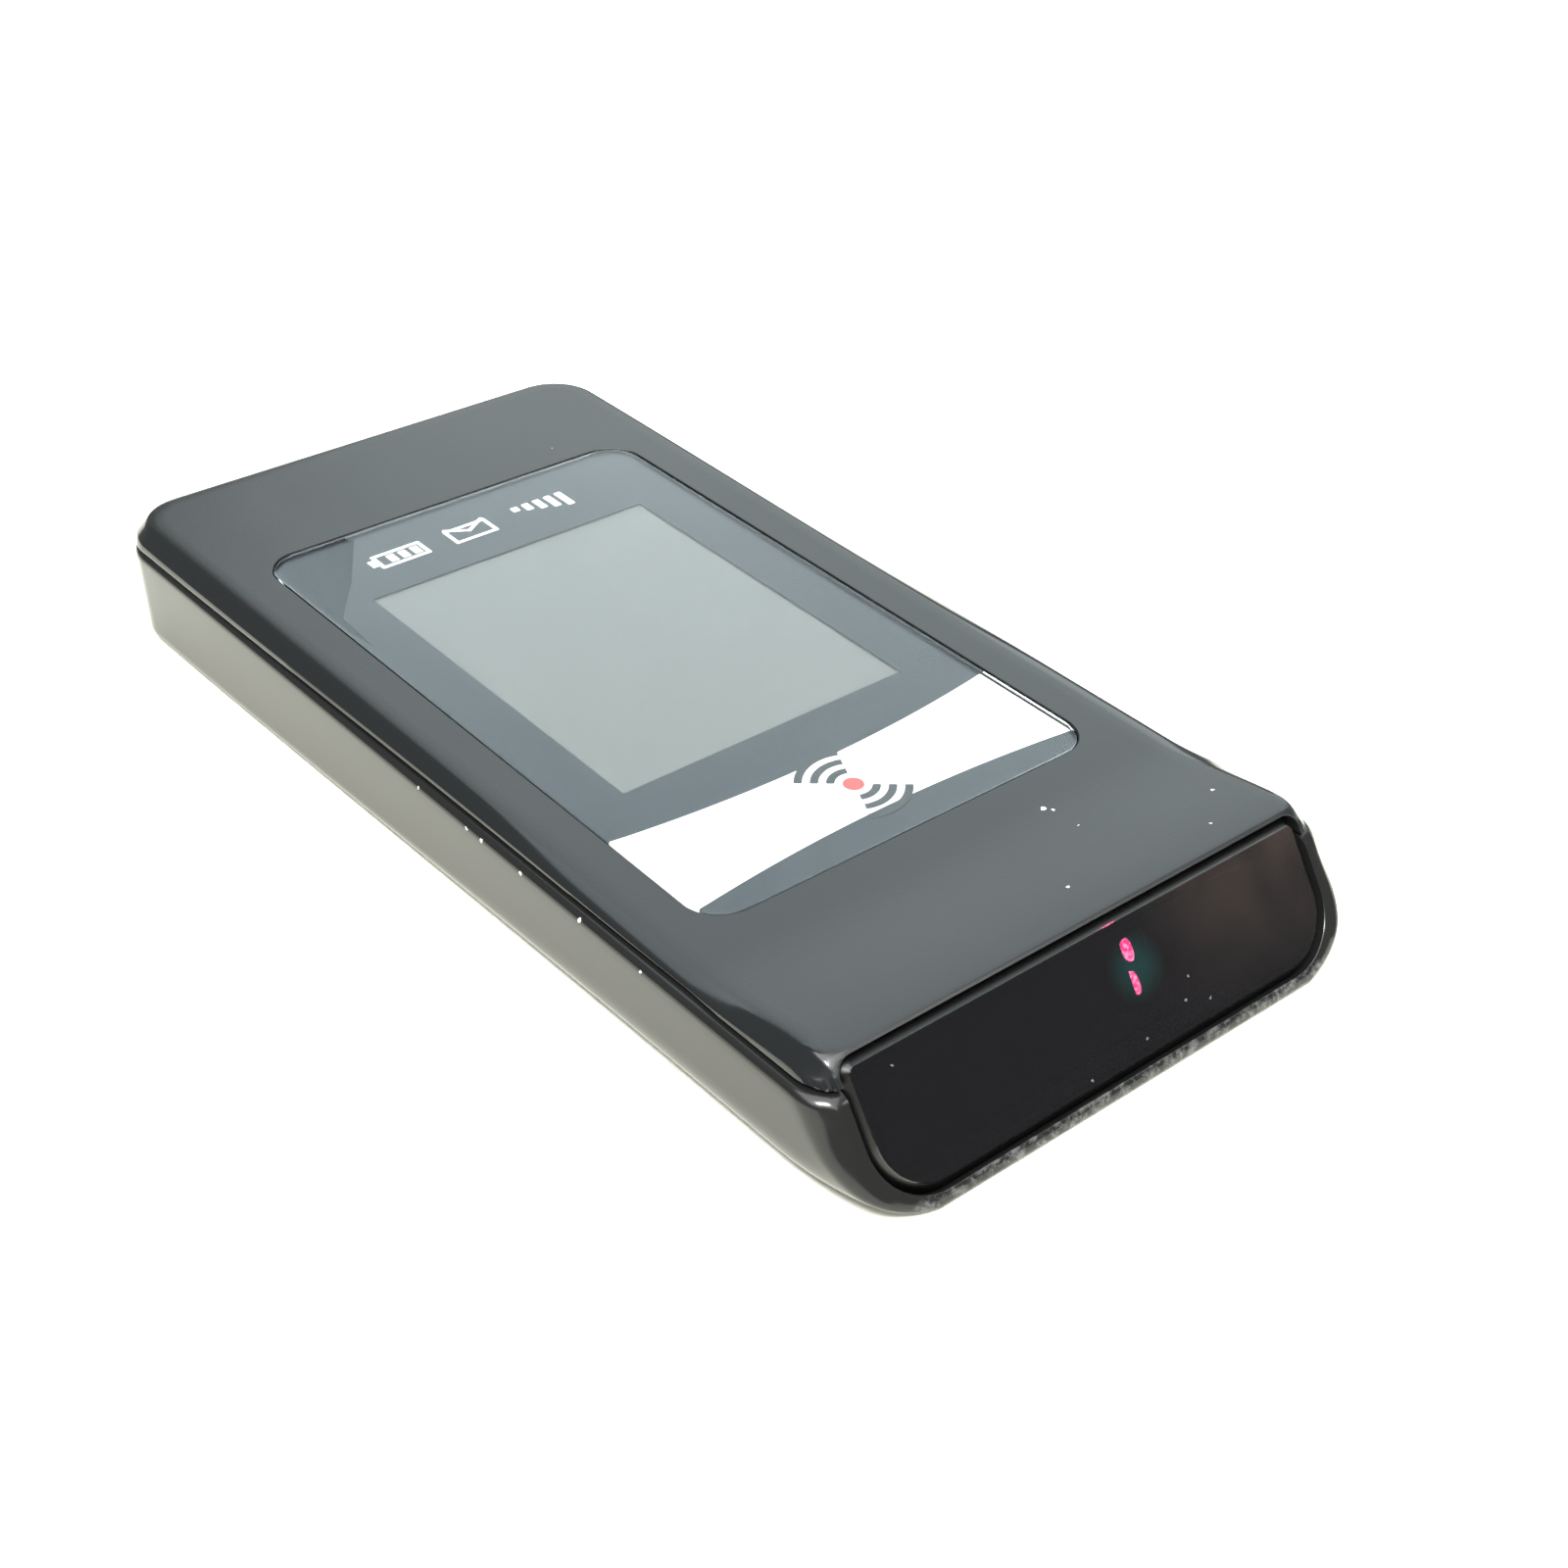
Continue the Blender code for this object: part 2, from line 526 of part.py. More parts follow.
# ---- vibration motor and sounder ----
def motor():
    disc("motor_can", (-14.5 * MM, MOTOR_Y, MOTOR_Z), 2.0 * MM, 9 * MM, "X", 24, "steel")
    boot = block("motor_boot", (-17.5 * MM, MOTOR_Y - 2.7 * MM, -8.55 * MM),
                 (-11.5 * MM, MOTOR_Y + 2.7 * MM, -3.0 * MM), "rubber", corner=0.5 * MM,
                 segments=2)
    cut(boot, disc("boot_bore", (-14.5 * MM, MOTOR_Y, MOTOR_Z), 2.15 * MM, 12 * MM, "X", 24))
    disc("motor_shaft", (-7.55 * MM, MOTOR_Y, MOTOR_Z), 0.4 * MM, 4.6 * MM, "X", 12, "steel")
    half_disc = [(2.6 * MM * math.cos(math.radians(a)), 2.6 * MM * math.sin(math.radians(a)))
                 for a in range(190, 351, 16)]
    hub = [(0.9 * MM * math.cos(math.radians(a)), 0.9 * MM * math.sin(math.radians(a)))
           for a in range(0, 181, 30)]
    bore = [(0.5 * MM * math.cos(math.radians(a)), 0.5 * MM * math.sin(math.radians(a)))
            for a in range(360, 0, -30)]
    place = across_body(-7.6 * MM)
    place.translation = (-7.6 * MM, MOTOR_Y, MOTOR_Z)
    flat_solid("motor_weight", [half_disc + hub, bore], 3.4 * MM, place, "brass")
    disc("sounder", (*SOUNDER_AT, -7.2 * MM), 5.4 * MM, 2.5 * MM, "Z", 28, "chip")


# ---- screws, key and label ----
def case_screws():
    for index, at in enumerate(SCREWS_AT):
        seat = screw_seat(at)
        head_low, head_high = seat + 0.25 * MM, seat + 1.35 * MM
        screw = disc(f"case_screw_{index + 1}", (*at, (head_low + head_high) / 2), 1.75 * MM,
                     head_high - head_low, sides=20, finish="steel")
        tip_z = -3.5 * MM if at[1] > 0 else -4.6 * MM
        shank = disc(f"shank_{index}", (*at, (head_low + 0.5 * MM + tip_z) / 2), 0.85 * MM,
                     tip_z - head_low - 0.5 * MM, sides=12)
        cut(screw, shank, "UNION")
        drive = block(f"drive_{index}", (-1.1 * MM, -0.2 * MM, -0.6 * MM),
                      (1.1 * MM, 0.2 * MM, 0.5 * MM),
                      place=Matrix.Translation((*at, head_low)))
        cut(screw, drive)


def side_key():
    cap = block("side_key", (25.5 * MM, KEY_Y - 6 * MM, KEY_Z - 1.6 * MM),
                (28.45 * MM, KEY_Y + 6 * MM, KEY_Z + 1.6 * MM), "key")
    soften(cap, 0.4 * MM, segments=2)
    flange = block("key_flange", (24.9 * MM, KEY_Y - 7 * MM, KEY_Z - 2.3 * MM),
                   (25.8 * MM, KEY_Y + 7 * MM, KEY_Z + 2.3 * MM))
    cut(cap, flange, "UNION")
    nub = block("key_nub", (24.6 * MM, KEY_Y - 1 * MM, KEY_Z - 0.8 * MM),
                (25.2 * MM, KEY_Y + 1 * MM, KEY_Z + 0.8 * MM))
    cut(cap, nub, "UNION")
    switch = block("key_switch", (20.6 * MM, KEY_Y - 2.3 * MM, -7.9 * MM),
                   (23.3 * MM, KEY_Y + 2.3 * MM, -6.15 * MM), "steel")
    cut(switch, block("switch_pocket", (21.9 * MM, KEY_Y - 0.9 * MM, KEY_Z - 0.45 * MM),
                      (24 * MM, KEY_Y + 0.9 * MM, KEY_Z + 0.45 * MM)))
    block("switch_plunger", (22.6 * MM, KEY_Y - 0.75 * MM, KEY_Z - 0.3 * MM),
          (24.5 * MM, KEY_Y + 0.75 * MM, KEY_Z + 0.3 * MM), "key")


front_housing()
rear_housing()
display_stack()
window_stack()
electronics()
motor()
case_screws()
side_key()
label_plate("rear_label", 0.0, 0.2 * MM, "label", lift=0.3 * MM)

# ---- centre the pager on its own box ----
bpy.context.view_layer.update()
graph = bpy.context.evaluated_depsgraph_get()
spread = []
for item in parts.objects:
    if item.type == "MESH":
        solid = item.evaluated_get(graph)
        spread += [(solid.matrix_world @ vert.co).y for vert in solid.data.vertices]
tip.location.y -= (min(spread) + max(spread)) / 2
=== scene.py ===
# %% [markdown]
# # A slim staff pager, finished around its working model
#
# The working model gives every part its place. This lesson adds what the eye wants: shells with
# true rounded edges, a clear printed lens, a tinted window with two lights behind it, and a
# finish for every surface. We start by loading the model.

# %% Load the working model
import math

import bpy
import numpy as np
from mathutils import Matrix, Vector


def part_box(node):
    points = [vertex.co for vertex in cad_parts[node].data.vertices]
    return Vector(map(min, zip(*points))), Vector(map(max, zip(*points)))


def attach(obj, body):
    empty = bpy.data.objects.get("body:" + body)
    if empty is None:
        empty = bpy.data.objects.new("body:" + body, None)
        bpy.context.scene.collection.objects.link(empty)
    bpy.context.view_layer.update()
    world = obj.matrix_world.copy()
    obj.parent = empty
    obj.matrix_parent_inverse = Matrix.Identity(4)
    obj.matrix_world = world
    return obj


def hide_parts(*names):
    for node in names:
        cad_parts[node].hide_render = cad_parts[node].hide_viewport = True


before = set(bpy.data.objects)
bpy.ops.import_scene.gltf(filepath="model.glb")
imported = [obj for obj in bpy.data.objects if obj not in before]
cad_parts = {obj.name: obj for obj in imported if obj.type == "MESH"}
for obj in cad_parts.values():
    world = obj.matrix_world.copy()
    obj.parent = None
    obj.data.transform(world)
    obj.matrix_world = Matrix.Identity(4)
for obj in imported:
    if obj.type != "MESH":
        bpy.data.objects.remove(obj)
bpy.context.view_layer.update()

MM = 0.001

# %% [markdown]
# ## Face coordinates
#
# The pager is a thin wedge that lies on its back, so its front face leans by a little more than
# a degree. It is far easier to draw everything with the front face level at z = 0 and to tip
# each finished piece at the end. The lens is a block that is symmetric about the face's centre,
# so the middle of its box tells us where that centre is.

# %% Find the face
BACK_SLOPE = 0.02328
LENS_THICK = 1.0 * MM
TILT = Matrix.Rotation(math.atan(BACK_SLOPE), 4, "X")
lens_low, lens_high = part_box("display_lens")
FACE_CENTRE = (lens_low + lens_high) / 2 - TILT @ Vector((0.0, 0.0, -LENS_THICK / 2))
FACE_PLACE = Matrix.Translation(FACE_CENTRE) @ TILT
print("centre of the face, in mm:", [round(v / MM, 3) for v in FACE_CENTRE])

# %% [markdown]
# ## The camera
#
# The camera comes first, so that each later step can be judged through it. It looks down on the
# window end from the left, from about twenty centimetres away, which gives the strong
# perspective of a close view. Its three directions are written in face coordinates.

# %% Place the camera
CAMERA_AT = Vector((-111.1, -146.7, 114.9)) * MM
CAMERA_RIGHT = Vector((0.768, -0.639, 0.029)).normalized()
CAMERA_FORWARD = Vector((0.535, 0.617, -0.578))
CAMERA_FORWARD = (CAMERA_FORWARD - CAMERA_RIGHT * CAMERA_FORWARD.dot(CAMERA_RIGHT)).normalized()
CAMERA_UP = CAMERA_RIGHT.cross(CAMERA_FORWARD)
camera_turn = Matrix((CAMERA_RIGHT, CAMERA_UP, -CAMERA_FORWARD)).transposed().to_4x4()
camera_data = bpy.data.cameras.new("studio_camera")
camera_data.sensor_width = 36.0
camera_data.lens = 53.52
camera_data.clip_start = 0.005
camera = bpy.data.objects.new("studio_camera", camera_data)
camera.matrix_world = FACE_PLACE @ Matrix.Translation(CAMERA_AT) @ camera_turn
bpy.context.scene.collection.objects.link(camera)
bpy.context.scene.camera = camera
print("camera at, in mm:", [round(v / MM, 1) for v in camera.matrix_world.translation])

# %% [markdown]
# ## Floor and light
#
# A glossy black object shows its surroundings more than its own colour, so the light is chosen
# by what each surface mirrors. A wide panel overhead whitens the floor. A tall soft panel
# behind and to the right is what the flat face mirrors, and turns it grey. A small lamp near
# the camera gives the sharp sparks on the rounded corners. The rest of the room stays dim, so
# that the rounded edges and the window stay black.

# %% Build the floor and the lights
TARGET = Vector((0.0, 0.0, 0.006))


def aim_panel(name, direction, distance, size, watts, colour):
    """A square light panel that faces the pager from a direction."""
    panel_data = bpy.data.lights.new(name, "AREA")
    panel_data.shape = "SQUARE"
    panel_data.size = size
    panel_data.energy = watts
    panel_data.color = colour
    panel = bpy.data.objects.new(name, panel_data)
    away = Vector(direction).normalized()
    panel.location = TARGET + away * distance
    panel.rotation_euler = away.to_track_quat("Z", "Y").to_euler()
    bpy.context.scene.collection.objects.link(panel)


aim_panel("overhead_panel", (-0.25, -0.30, 1.0), 1.0, 1.3, 31.5, (1.0, 1.0, 0.99))
aim_panel("back_panel", (0.67, 0.52, 0.70), 0.75, 0.80, 3.9, (0.85, 0.98, 1.0))
aim_panel("spark_lamp", (-0.445, -0.363, 0.79), 0.9, 0.16, 10.0, (1.0, 1.0, 1.0))
aim_panel("rim_lamp", (0.50, -0.56, 0.66), 0.9, 0.14, 0.9, (1.0, 1.0, 1.0))

studio = bpy.data.worlds.new("studio")
studio.use_nodes = True
studio.node_tree.nodes["Background"].inputs["Color"].default_value = (0.95, 0.98, 1.0, 1.0)
studio.node_tree.nodes["Background"].inputs["Strength"].default_value = 0.30
bpy.context.scene.world = studio
bpy.context.scene.view_settings.view_transform = "Standard"

bpy.ops.object.select_all(action="DESELECT")
bpy.ops.mesh.primitive_plane_add(size=4.0)
floor = bpy.context.object
floor.name = "studio_floor"
floor_finish = bpy.data.materials.new("floor_paint")
floor_finish.use_nodes = True
floor_shader = floor_finish.node_tree.nodes["Principled BSDF"]
floor_shader.inputs["Base Color"].default_value = (0.88, 0.88, 0.77, 1.0)
floor_shader.inputs["Roughness"].default_value = 0.6
floor.data.materials.append(floor_finish)
print("floor and four lights are in place")

# %% [markdown]
# ## Hand tools
#
# A few small helpers keep the later cells short: pick a piece, pick some of its faces or edges
# by their place, apply one modifier, and cut one solid with another. Each works through
# Blender's own operators, as a person would with the mouse.

# %% Helpers for selecting and cutting
def pick(piece):
    """Make one piece the only selected and active object."""
    if bpy.context.object and bpy.context.object.mode != "OBJECT":
        bpy.ops.object.mode_set(mode="OBJECT")
    bpy.ops.object.select_all(action="DESELECT")
    piece.select_set(True)
    bpy.context.view_layer.objects.active = piece


def pick_elements(piece, kind, test):
    """Select a piece's faces or edges whose corner points pass a test, and enter edit mode."""
    pick(piece)
    mesh = piece.data
    for group in (mesh.vertices, mesh.edges, mesh.polygons):
        group.foreach_set("select", np.zeros(len(group), bool))
    bpy.context.tool_settings.mesh_select_mode = (False, kind == "EDGE", kind == "FACE")
    for element in mesh.edges if kind == "EDGE" else mesh.polygons:
        element.select = test([mesh.vertices[i].co / MM for i in element.vertices])
    bpy.ops.object.mode_set(mode="EDIT")


def leave_edit():
    bpy.ops.object.mode_set(mode="OBJECT")


def apply_step(piece, kind, **settings):
    """Add one modifier, set it up and apply it."""
    pick(piece)
    step = piece.modifiers.new(kind.lower(), kind)
    for name, value in settings.items():
        setattr(step, name, value)
    bpy.ops.object.modifier_apply(modifier=step.name)


def carve(piece, tool, operation="DIFFERENCE", place=None):
    """Seat a tool solid, cut the piece with it or join it on, and throw the tool away."""
    if place is not None:
        bake_place(tool, place)
    apply_step(piece, "BOOLEAN", operation=operation, object=tool, solver="EXACT")
    bpy.data.objects.remove(tool)


def bake_place(piece, place=None):
    """Put a piece in its place and write that place into its mesh."""
    if place is not None:
        piece.matrix_world = place @ piece.matrix_world
    pick(piece)
    bpy.ops.object.transform_apply(location=True, rotation=True, scale=True)


def new_piece(name):
    """Name the piece that was just added, and its mesh."""
    piece = bpy.context.object
    piece.name = name
    piece.data.name = name
    return piece


# %% [markdown]
# A lens, a window, a label and most pockets are the same thing: a flat slab with rounded
# corners and a small round or flare at its rim. One function makes them all. It starts from a
# cube at the slab's size, bevels the four upright corners, and then bevels the top rim. Two
# heights closer than CLOSE, in millimetres, count as the same height.

# %% Slabs and pins
CLOSE = 1e-3


def slab(name, x_span, y_span, z_span, corners=(0.0, 0.0), rim=0.0, segments=8, rim_steps=3):
    """A slab in millimetres; corners gives the radius at low y and at high y."""
    bpy.ops.object.select_all(action="DESELECT")
    bpy.ops.mesh.primitive_cube_add(size=1)
    piece = new_piece(name)
    spans = (x_span, y_span, z_span)
    piece.location = [sum(span) / 2 * MM for span in spans]
    piece.scale = [(span[1] - span[0]) * MM for span in spans]
    bake_place(piece)
    middle = sum(y_span) / 2
    for radius, high in zip(corners, (False, True)):
        if radius:
            pick_elements(piece, "EDGE", lambda ends, high=high: (
                abs(ends[0].z - ends[1].z) > 0.9 * (z_span[1] - z_span[0])
                and (ends[0].y > middle) == high))
            bpy.ops.mesh.bevel(offset=radius * MM, segments=segments, affect="EDGES")
            leave_edit()
    if rim:
        pick_elements(piece, "EDGE", lambda ends: all(abs(e.z - z_span[1]) < CLOSE for e in ends))
        bpy.ops.mesh.bevel(offset=rim * MM, segments=rim_steps, affect="EDGES")
        leave_edit()
    return piece


def pin(name, at, radius, z_span, rim=0.0, sides=48):
    """A round pin or hole cutter that stands upright, in millimetres."""
    bpy.ops.object.select_all(action="DESELECT")
    bpy.ops.mesh.primitive_cylinder_add(vertices=sides, radius=radius * MM,
                                        depth=(z_span[1] - z_span[0]) * MM)
    piece = new_piece(name)
    piece.location = (at[0] * MM, at[1] * MM, sum(z_span) / 2 * MM)
    bake_place(piece)
    if rim:
        pick_elements(piece, "FACE", lambda ends: len(ends) > 4)
        bpy.ops.mesh.region_to_loop()
        bpy.ops.mesh.bevel(offset=rim * MM, segments=3, affect="EDGES")
        leave_edit()
    return piece


def finish_piece(piece, finish, body, slot, *stands_for, smooth=35.0, place=None):
    """Seat a piece, smooth it, paint it, hang it on its body and hide the parts it stands for."""
    if place is not None:
        bake_place(piece, place)
    bake_place(piece, FACE_PLACE)
    bpy.ops.object.shade_smooth_by_angle(angle=math.radians(smooth))
    piece.data.materials.clear()
    piece.data.materials.append(finish)
    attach(piece, body)
    if stands_for:
        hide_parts(*stands_for)
    print(piece.name, "has", len(piece.data.polygons), "faces")


# %% [markdown]
# ## Shared effects
#
# Three effects turn up in many finishes, so each is a node group that is built once. Grain is
# the fine texture of moulded plastic. Smudge is the slow change in gloss that handling leaves.
# Specks are the scattered bright nicks and dust that every used pager collects.

# %% Node helpers and the three effect groups
def add_node(tree, kind, settings=None, **inputs):
    """Add a node, set its properties, and fill or link its inputs; i0 is the first input."""
    node = tree.nodes.new(kind)
    for name, value in (settings or {}).items():
        setattr(node, name, value)
    for name, value in inputs.items():
        numbered = name[0] == "i" and name[1:].isdigit()
        socket = node.inputs[int(name[1:]) if numbered else name.replace("_", " ")]
        if isinstance(value, bpy.types.NodeSocket):
            tree.links.new(value, socket)
        else:
            socket.default_value = value
    return node


def math_node(tree, operation, first, second=0.0):
    """One sum, product or comparison of two values."""
    return add_node(tree, "ShaderNodeMath", {"operation": operation}, i0=first, i1=second).outputs[0]


def product(tree, first, *others):
    """The product of some values; for masks, the place where all of them are 1."""
    for other in others:
        first = math_node(tree, "MULTIPLY", first, other)
    return first


def vector_value(tree, operation, first, second):
    """One number made from two vectors, such as the distance between them."""
    return add_node(tree, "ShaderNodeVectorMath", {"operation": operation}, i0=first,
                    i1=second).outputs["Value"]


def axes_of(tree, place):
    """The x, y and z of a coordinate."""
    return add_node(tree, "ShaderNodeSeparateXYZ", None, Vector=place).outputs


def ramp_between(tree, value, low, high):
    """0 at low, 1 at high, and a smooth rise between; low may be above high."""
    return add_node(tree, "ShaderNodeMapRange", {"interpolation_type": "SMOOTHSTEP"}, Value=value,
                    From_Min=min(low, high), From_Max=max(low, high),
                    To_Min=float(low > high), To_Max=float(low <= high)).outputs[0]


def mix_colour(tree, factor, first, second):
    return add_node(tree, "ShaderNodeMix", {"data_type": "RGBA"}, i0=factor, i6=first,
                    i7=second).outputs[2]


def mix_value(tree, factor, first, second):
    return add_node(tree, "ShaderNodeMix", {"data_type": "FLOAT"}, i0=factor, i2=first,
                    i3=second).outputs[0]


def effect_group(name, inputs, output):
    """An empty node group with a coordinate, named inputs and one output value."""
    group = bpy.data.node_groups.new(name, "ShaderNodeTree")
    group.interface.new_socket("Place", in_out="INPUT", socket_type="NodeSocketVector")
    for label, value in inputs.items():
        socket = group.interface.new_socket(label, in_out="INPUT", socket_type="NodeSocketFloat")
        socket.default_value = value
    group.interface.new_socket(output, in_out="OUTPUT", socket_type="NodeSocketFloat")
    source = group.nodes.new("NodeGroupInput")
    target = group.nodes.new("NodeGroupOutput")
    return group, source.outputs, target.inputs[0]


GRAIN, given, result = effect_group("grain", {"Scale": 4000.0}, "Height")
fine = add_node(GRAIN, "ShaderNodeTexNoise", None, Vector=given["Place"], Scale=given["Scale"],
                Detail=3.0, Roughness=0.6)
GRAIN.links.new(fine.outputs[0], result)

SMUDGE, given, result = effect_group("smudge", {"Scale": 60.0, "Contrast": 1.0}, "Mask")
slow = add_node(SMUDGE, "ShaderNodeTexNoise", None, Vector=given["Place"], Scale=given["Scale"],
                Detail=5.0, Roughness=0.55, Distortion=0.6)
centred = math_node(SMUDGE, "SUBTRACT", slow.outputs[0], 0.5)
scaled = math_node(SMUDGE, "MULTIPLY", centred, given["Contrast"])
SMUDGE.links.new(math_node(SMUDGE, "ADD", scaled, 0.5), result)

SPECKS, given, result = effect_group("specks", {"Scale": 500.0, "Size": 0.1, "Amount": 0.5},
                                     "Mask")
cells = add_node(SPECKS, "ShaderNodeTexVoronoi", None, Vector=given["Place"],
                 Scale=given["Scale"])
dots = math_node(SPECKS, "LESS_THAN", cells.outputs["Distance"], given["Size"])
chosen = add_node(SPECKS, "ShaderNodeSeparateColor", None, Color=cells.outputs["Color"])
kept = math_node(SPECKS, "LESS_THAN", chosen.outputs[0], given["Amount"])
SPECKS.links.new(math_node(SPECKS, "MULTIPLY", dots, kept), result)
print("effects:", [group.name for group in bpy.data.node_groups])


def effect(tree, group, place, **values):
    """Place a shared effect in a material and return its output."""
    node = add_node(tree, "ShaderNodeGroup", {"node_tree": group}, Place=place, **values)
    return node.outputs[0]


# %% [markdown]
# A finish is one material with one Principled shader. This function makes it with its plain
# numbers set on the shader itself, and hands back the node tree and an Object coordinate, which
# stays put on the piece. The coordinate is turned back into face coordinates by a Mapping
# node, so that a pattern can follow the pager's own axes.

# %% A new finish
def new_finish(name, colour, roughness, metallic=0.0, **sockets):
    """A material with its plain numbers set; returns material, tree, shader and place."""
    finish = bpy.data.materials.new(name + "_finish")
    finish.use_nodes = True
    tree = finish.node_tree
    shader = tree.nodes["Principled BSDF"]
    shader.inputs["Base Color"].default_value = (*colour, 1.0)
    shader.inputs["Roughness"].default_value = roughness
    shader.inputs["Metallic"].default_value = metallic
    for label, value in sockets.items():
        shader.inputs[label.replace("_", " ")].default_value = value
    coordinate = tree.nodes.new("ShaderNodeTexCoord")
    turned = tree.nodes.new("ShaderNodeMapping")
    turned.vector_type = "TEXTURE"
    turned.inputs["Location"].default_value = FACE_CENTRE
    turned.inputs["Rotation"].default_value = TILT.to_euler()
    tree.links.new(coordinate.outputs["Object"], turned.inputs["Vector"])
    return finish, tree, shader, turned.outputs[0]


def feed(tree, shader, **outputs):
    """Link outputs to the shader's inputs, by name."""
    for name, output in outputs.items():
        tree.links.new(output, shader.inputs[name.replace("_", " ")])


def add_bump(tree, shader, height, distance, strength):
    """Feed a height to the shader's normal."""
    bump = add_node(tree, "ShaderNodeBump", None, Height=height, Distance=distance,
                    Strength=strength)
    feed(tree, shader, Normal=bump.outputs[0])


# %% [markdown]
# ## The shell's plastic
#
# Both shells are moulded in black. The flat front has a fine satin texture, and the rounded
# edges and the walls are polished. The change is a thin band that follows the edge, so the
# mask is the distance from the face's own border, read from the coordinate. A few bright
# specks gather near the window and along the worn edges.

# %% Shell finish
FACE_HALF = 26.2
FACE_FAR = 52.2
FACE_SPECKS = [(10.4, -40.2, 0.0, 0.24), (10.9, -40.9, 0.05, 0.15), (2.9, -50.3, 1.4, 0.19),
               (22.7, -48.0, 1.1, 0.17), (18.3, -51.6, 1.6, 0.13), (10.6, -44.0, 0.4, 0.10)]
EDGE_NICKS = [(-28.3, -3.2, -2.0, 0.17), (-28.3, -10.8, -1.9, 0.19), (-28.3, -13.0, -1.9, 0.22),
              (-28.3, -18.7, -1.8, 0.22), (-28.3, -26.9, -1.6, 0.22), (-28.3, -35.0, -1.5, 0.13)]


def spots(tree, place, points):
    """Ragged spots: 1 near any of the points, which give x, y, z and radius in millimetres."""
    ragged = add_node(tree, "ShaderNodeTexNoise", None, Vector=place, Scale=2600.0, Detail=2.0)
    shift = add_node(tree, "ShaderNodeVectorMath", {"operation": "MULTIPLY_ADD"},
                     i0=ragged.outputs[1], i1=(0.5 * MM,) * 3, i2=place).outputs[0]
    total = 0.0
    for x, y, z, radius in points:
        centre = [v * MM + 0.25 * MM for v in (x, y, z)]
        near = math_node(tree, "LESS_THAN", vector_value(tree, "DISTANCE", shift, centre),
                         radius * MM)
        total = math_node(tree, "MAXIMUM", near, total)
    return total


def shell_finish(name, has_face):
    """Black moulded plastic; the front shell also has a satin face, the rear a scuffed lip."""
    colour = (0.0060, 0.0068, 0.0072) if has_face else (0.0080, 0.0084, 0.0080)
    finish, tree, shader, place = new_finish(name, colour, 0.13, IOR=1.5 if has_face else 1.37)
    x, y, z = axes_of(tree, place)
    smudge = effect(tree, SMUDGE, place, Scale=45.0, Contrast=1.4)
    grain = effect(tree, GRAIN, place, Scale=4200.0)
    if has_face:
        drift = math_node(tree, "MULTIPLY", y, 0.008)
        across = math_node(tree, "SUBTRACT", math_node(tree, "ABSOLUTE", x), drift)
        inside_x = ramp_between(tree, across, (FACE_HALF + 0.15) * MM, (FACE_HALF - 0.35) * MM)
        inside_y = ramp_between(tree, y, (FACE_FAR + 0.15) * MM, (FACE_FAR - 0.35) * MM)
        above = ramp_between(tree, z, -0.3 * MM, -0.15 * MM)
        satin = product(tree, inside_x, inside_y, above)
        polish = mix_value(tree, smudge, 0.08, 0.19)
        rough = mix_value(tree, satin, polish, mix_value(tree, smudge, 0.29, 0.37))
        add_bump(tree, shader, product(tree, grain, satin), 0.02 * MM, 0.6)
        worn = spots(tree, place, FACE_SPECKS)
    else:
        rough = mix_value(tree, smudge, 0.12, 0.24)
        add_bump(tree, shader, grain, 0.006 * MM, 0.3)
        lip = ramp_between(tree, y, -61.5 * MM, -61.9 * MM)
        scuff = add_node(tree, "ShaderNodeTexNoise", None, Vector=place, Scale=900.0, Detail=6.0,
                         Roughness=0.75)
        rubbed = ramp_between(tree, scuff.outputs[0], 0.42, 0.66)
        lip = product(tree, lip, rubbed, 0.20)
        worn = math_node(tree, "MAXIMUM", lip, spots(tree, place, EDGE_NICKS))
    dust = effect(tree, SPECKS, place, Scale=330.0, Size=0.035, Amount=0.02)
    worn = math_node(tree, "MAXIMUM", worn, dust)
    tint = mix_colour(tree, worn, (*colour, 1.0), (0.40, 0.41, 0.40, 1.0))
    feed(tree, shader, Base_Color=tint, Roughness=rough)
    return finish


FRONT_FINISH = shell_finish("front_shell", True)
REAR_FINISH = shell_finish("rear_shell", False)

# %% [markdown]
# ## The form of the body
#
# The body is the overlap of seven surfaces: the face, two sides, the far end, the sloping
# window end, the back, and the rounded lip under the window. For any point we can work out how
# far it lies outside each one. Taking the largest of those gives a sharp solid, and a rounded
# meeting of two distances gives a true fillet of any radius. The face isn't quite flat: it
# sweeps up to a crest above the window.

# %% Distances to the body's surfaces, in millimetres
HALF_WIDTH = 28.4
SIDE_DRAFT = 0.054
FAR_END = 54.0
BACK_DEPTH = 11.643
RAMP_START = -39.0
RAMP_LENGTH = 15.5
CREST_Y = -54.4
CREST_Z = 1.75
WINDOW_ANGLE = math.radians(55.3)
WINDOW_COS = math.cos(WINDOW_ANGLE)
WINDOW_SIN = math.sin(WINDOW_ANGLE)
SEAM_DEPTH = 1.47
SEAM_SLOPE = 0.0175
SEAM_GAP = 0.3
FAR_CORNER = 6.5
NEAR_CORNER = 2.8
LIP_CORNER = 8.0
LIP_DOWN = 14.6
FACE_EDGE = 1.6
SHOULDER_EDGE = 0.35
STRIP_HEIGHT = 0.6
LEAST_DROP = 0.5
OUTER_EDGE = 0.3
CREST_EDGE = 0.25
LIP_EDGE = 0.8
FAR_BACK_EDGE = 1.2
NEAR_BACK_EDGE = 3.6
FRONT_SEAM_EDGE = 0.25
REAR_SEAM_EDGE = 0.75
PRESS_SHARE = 0.6
PRESS_STEPS = 24


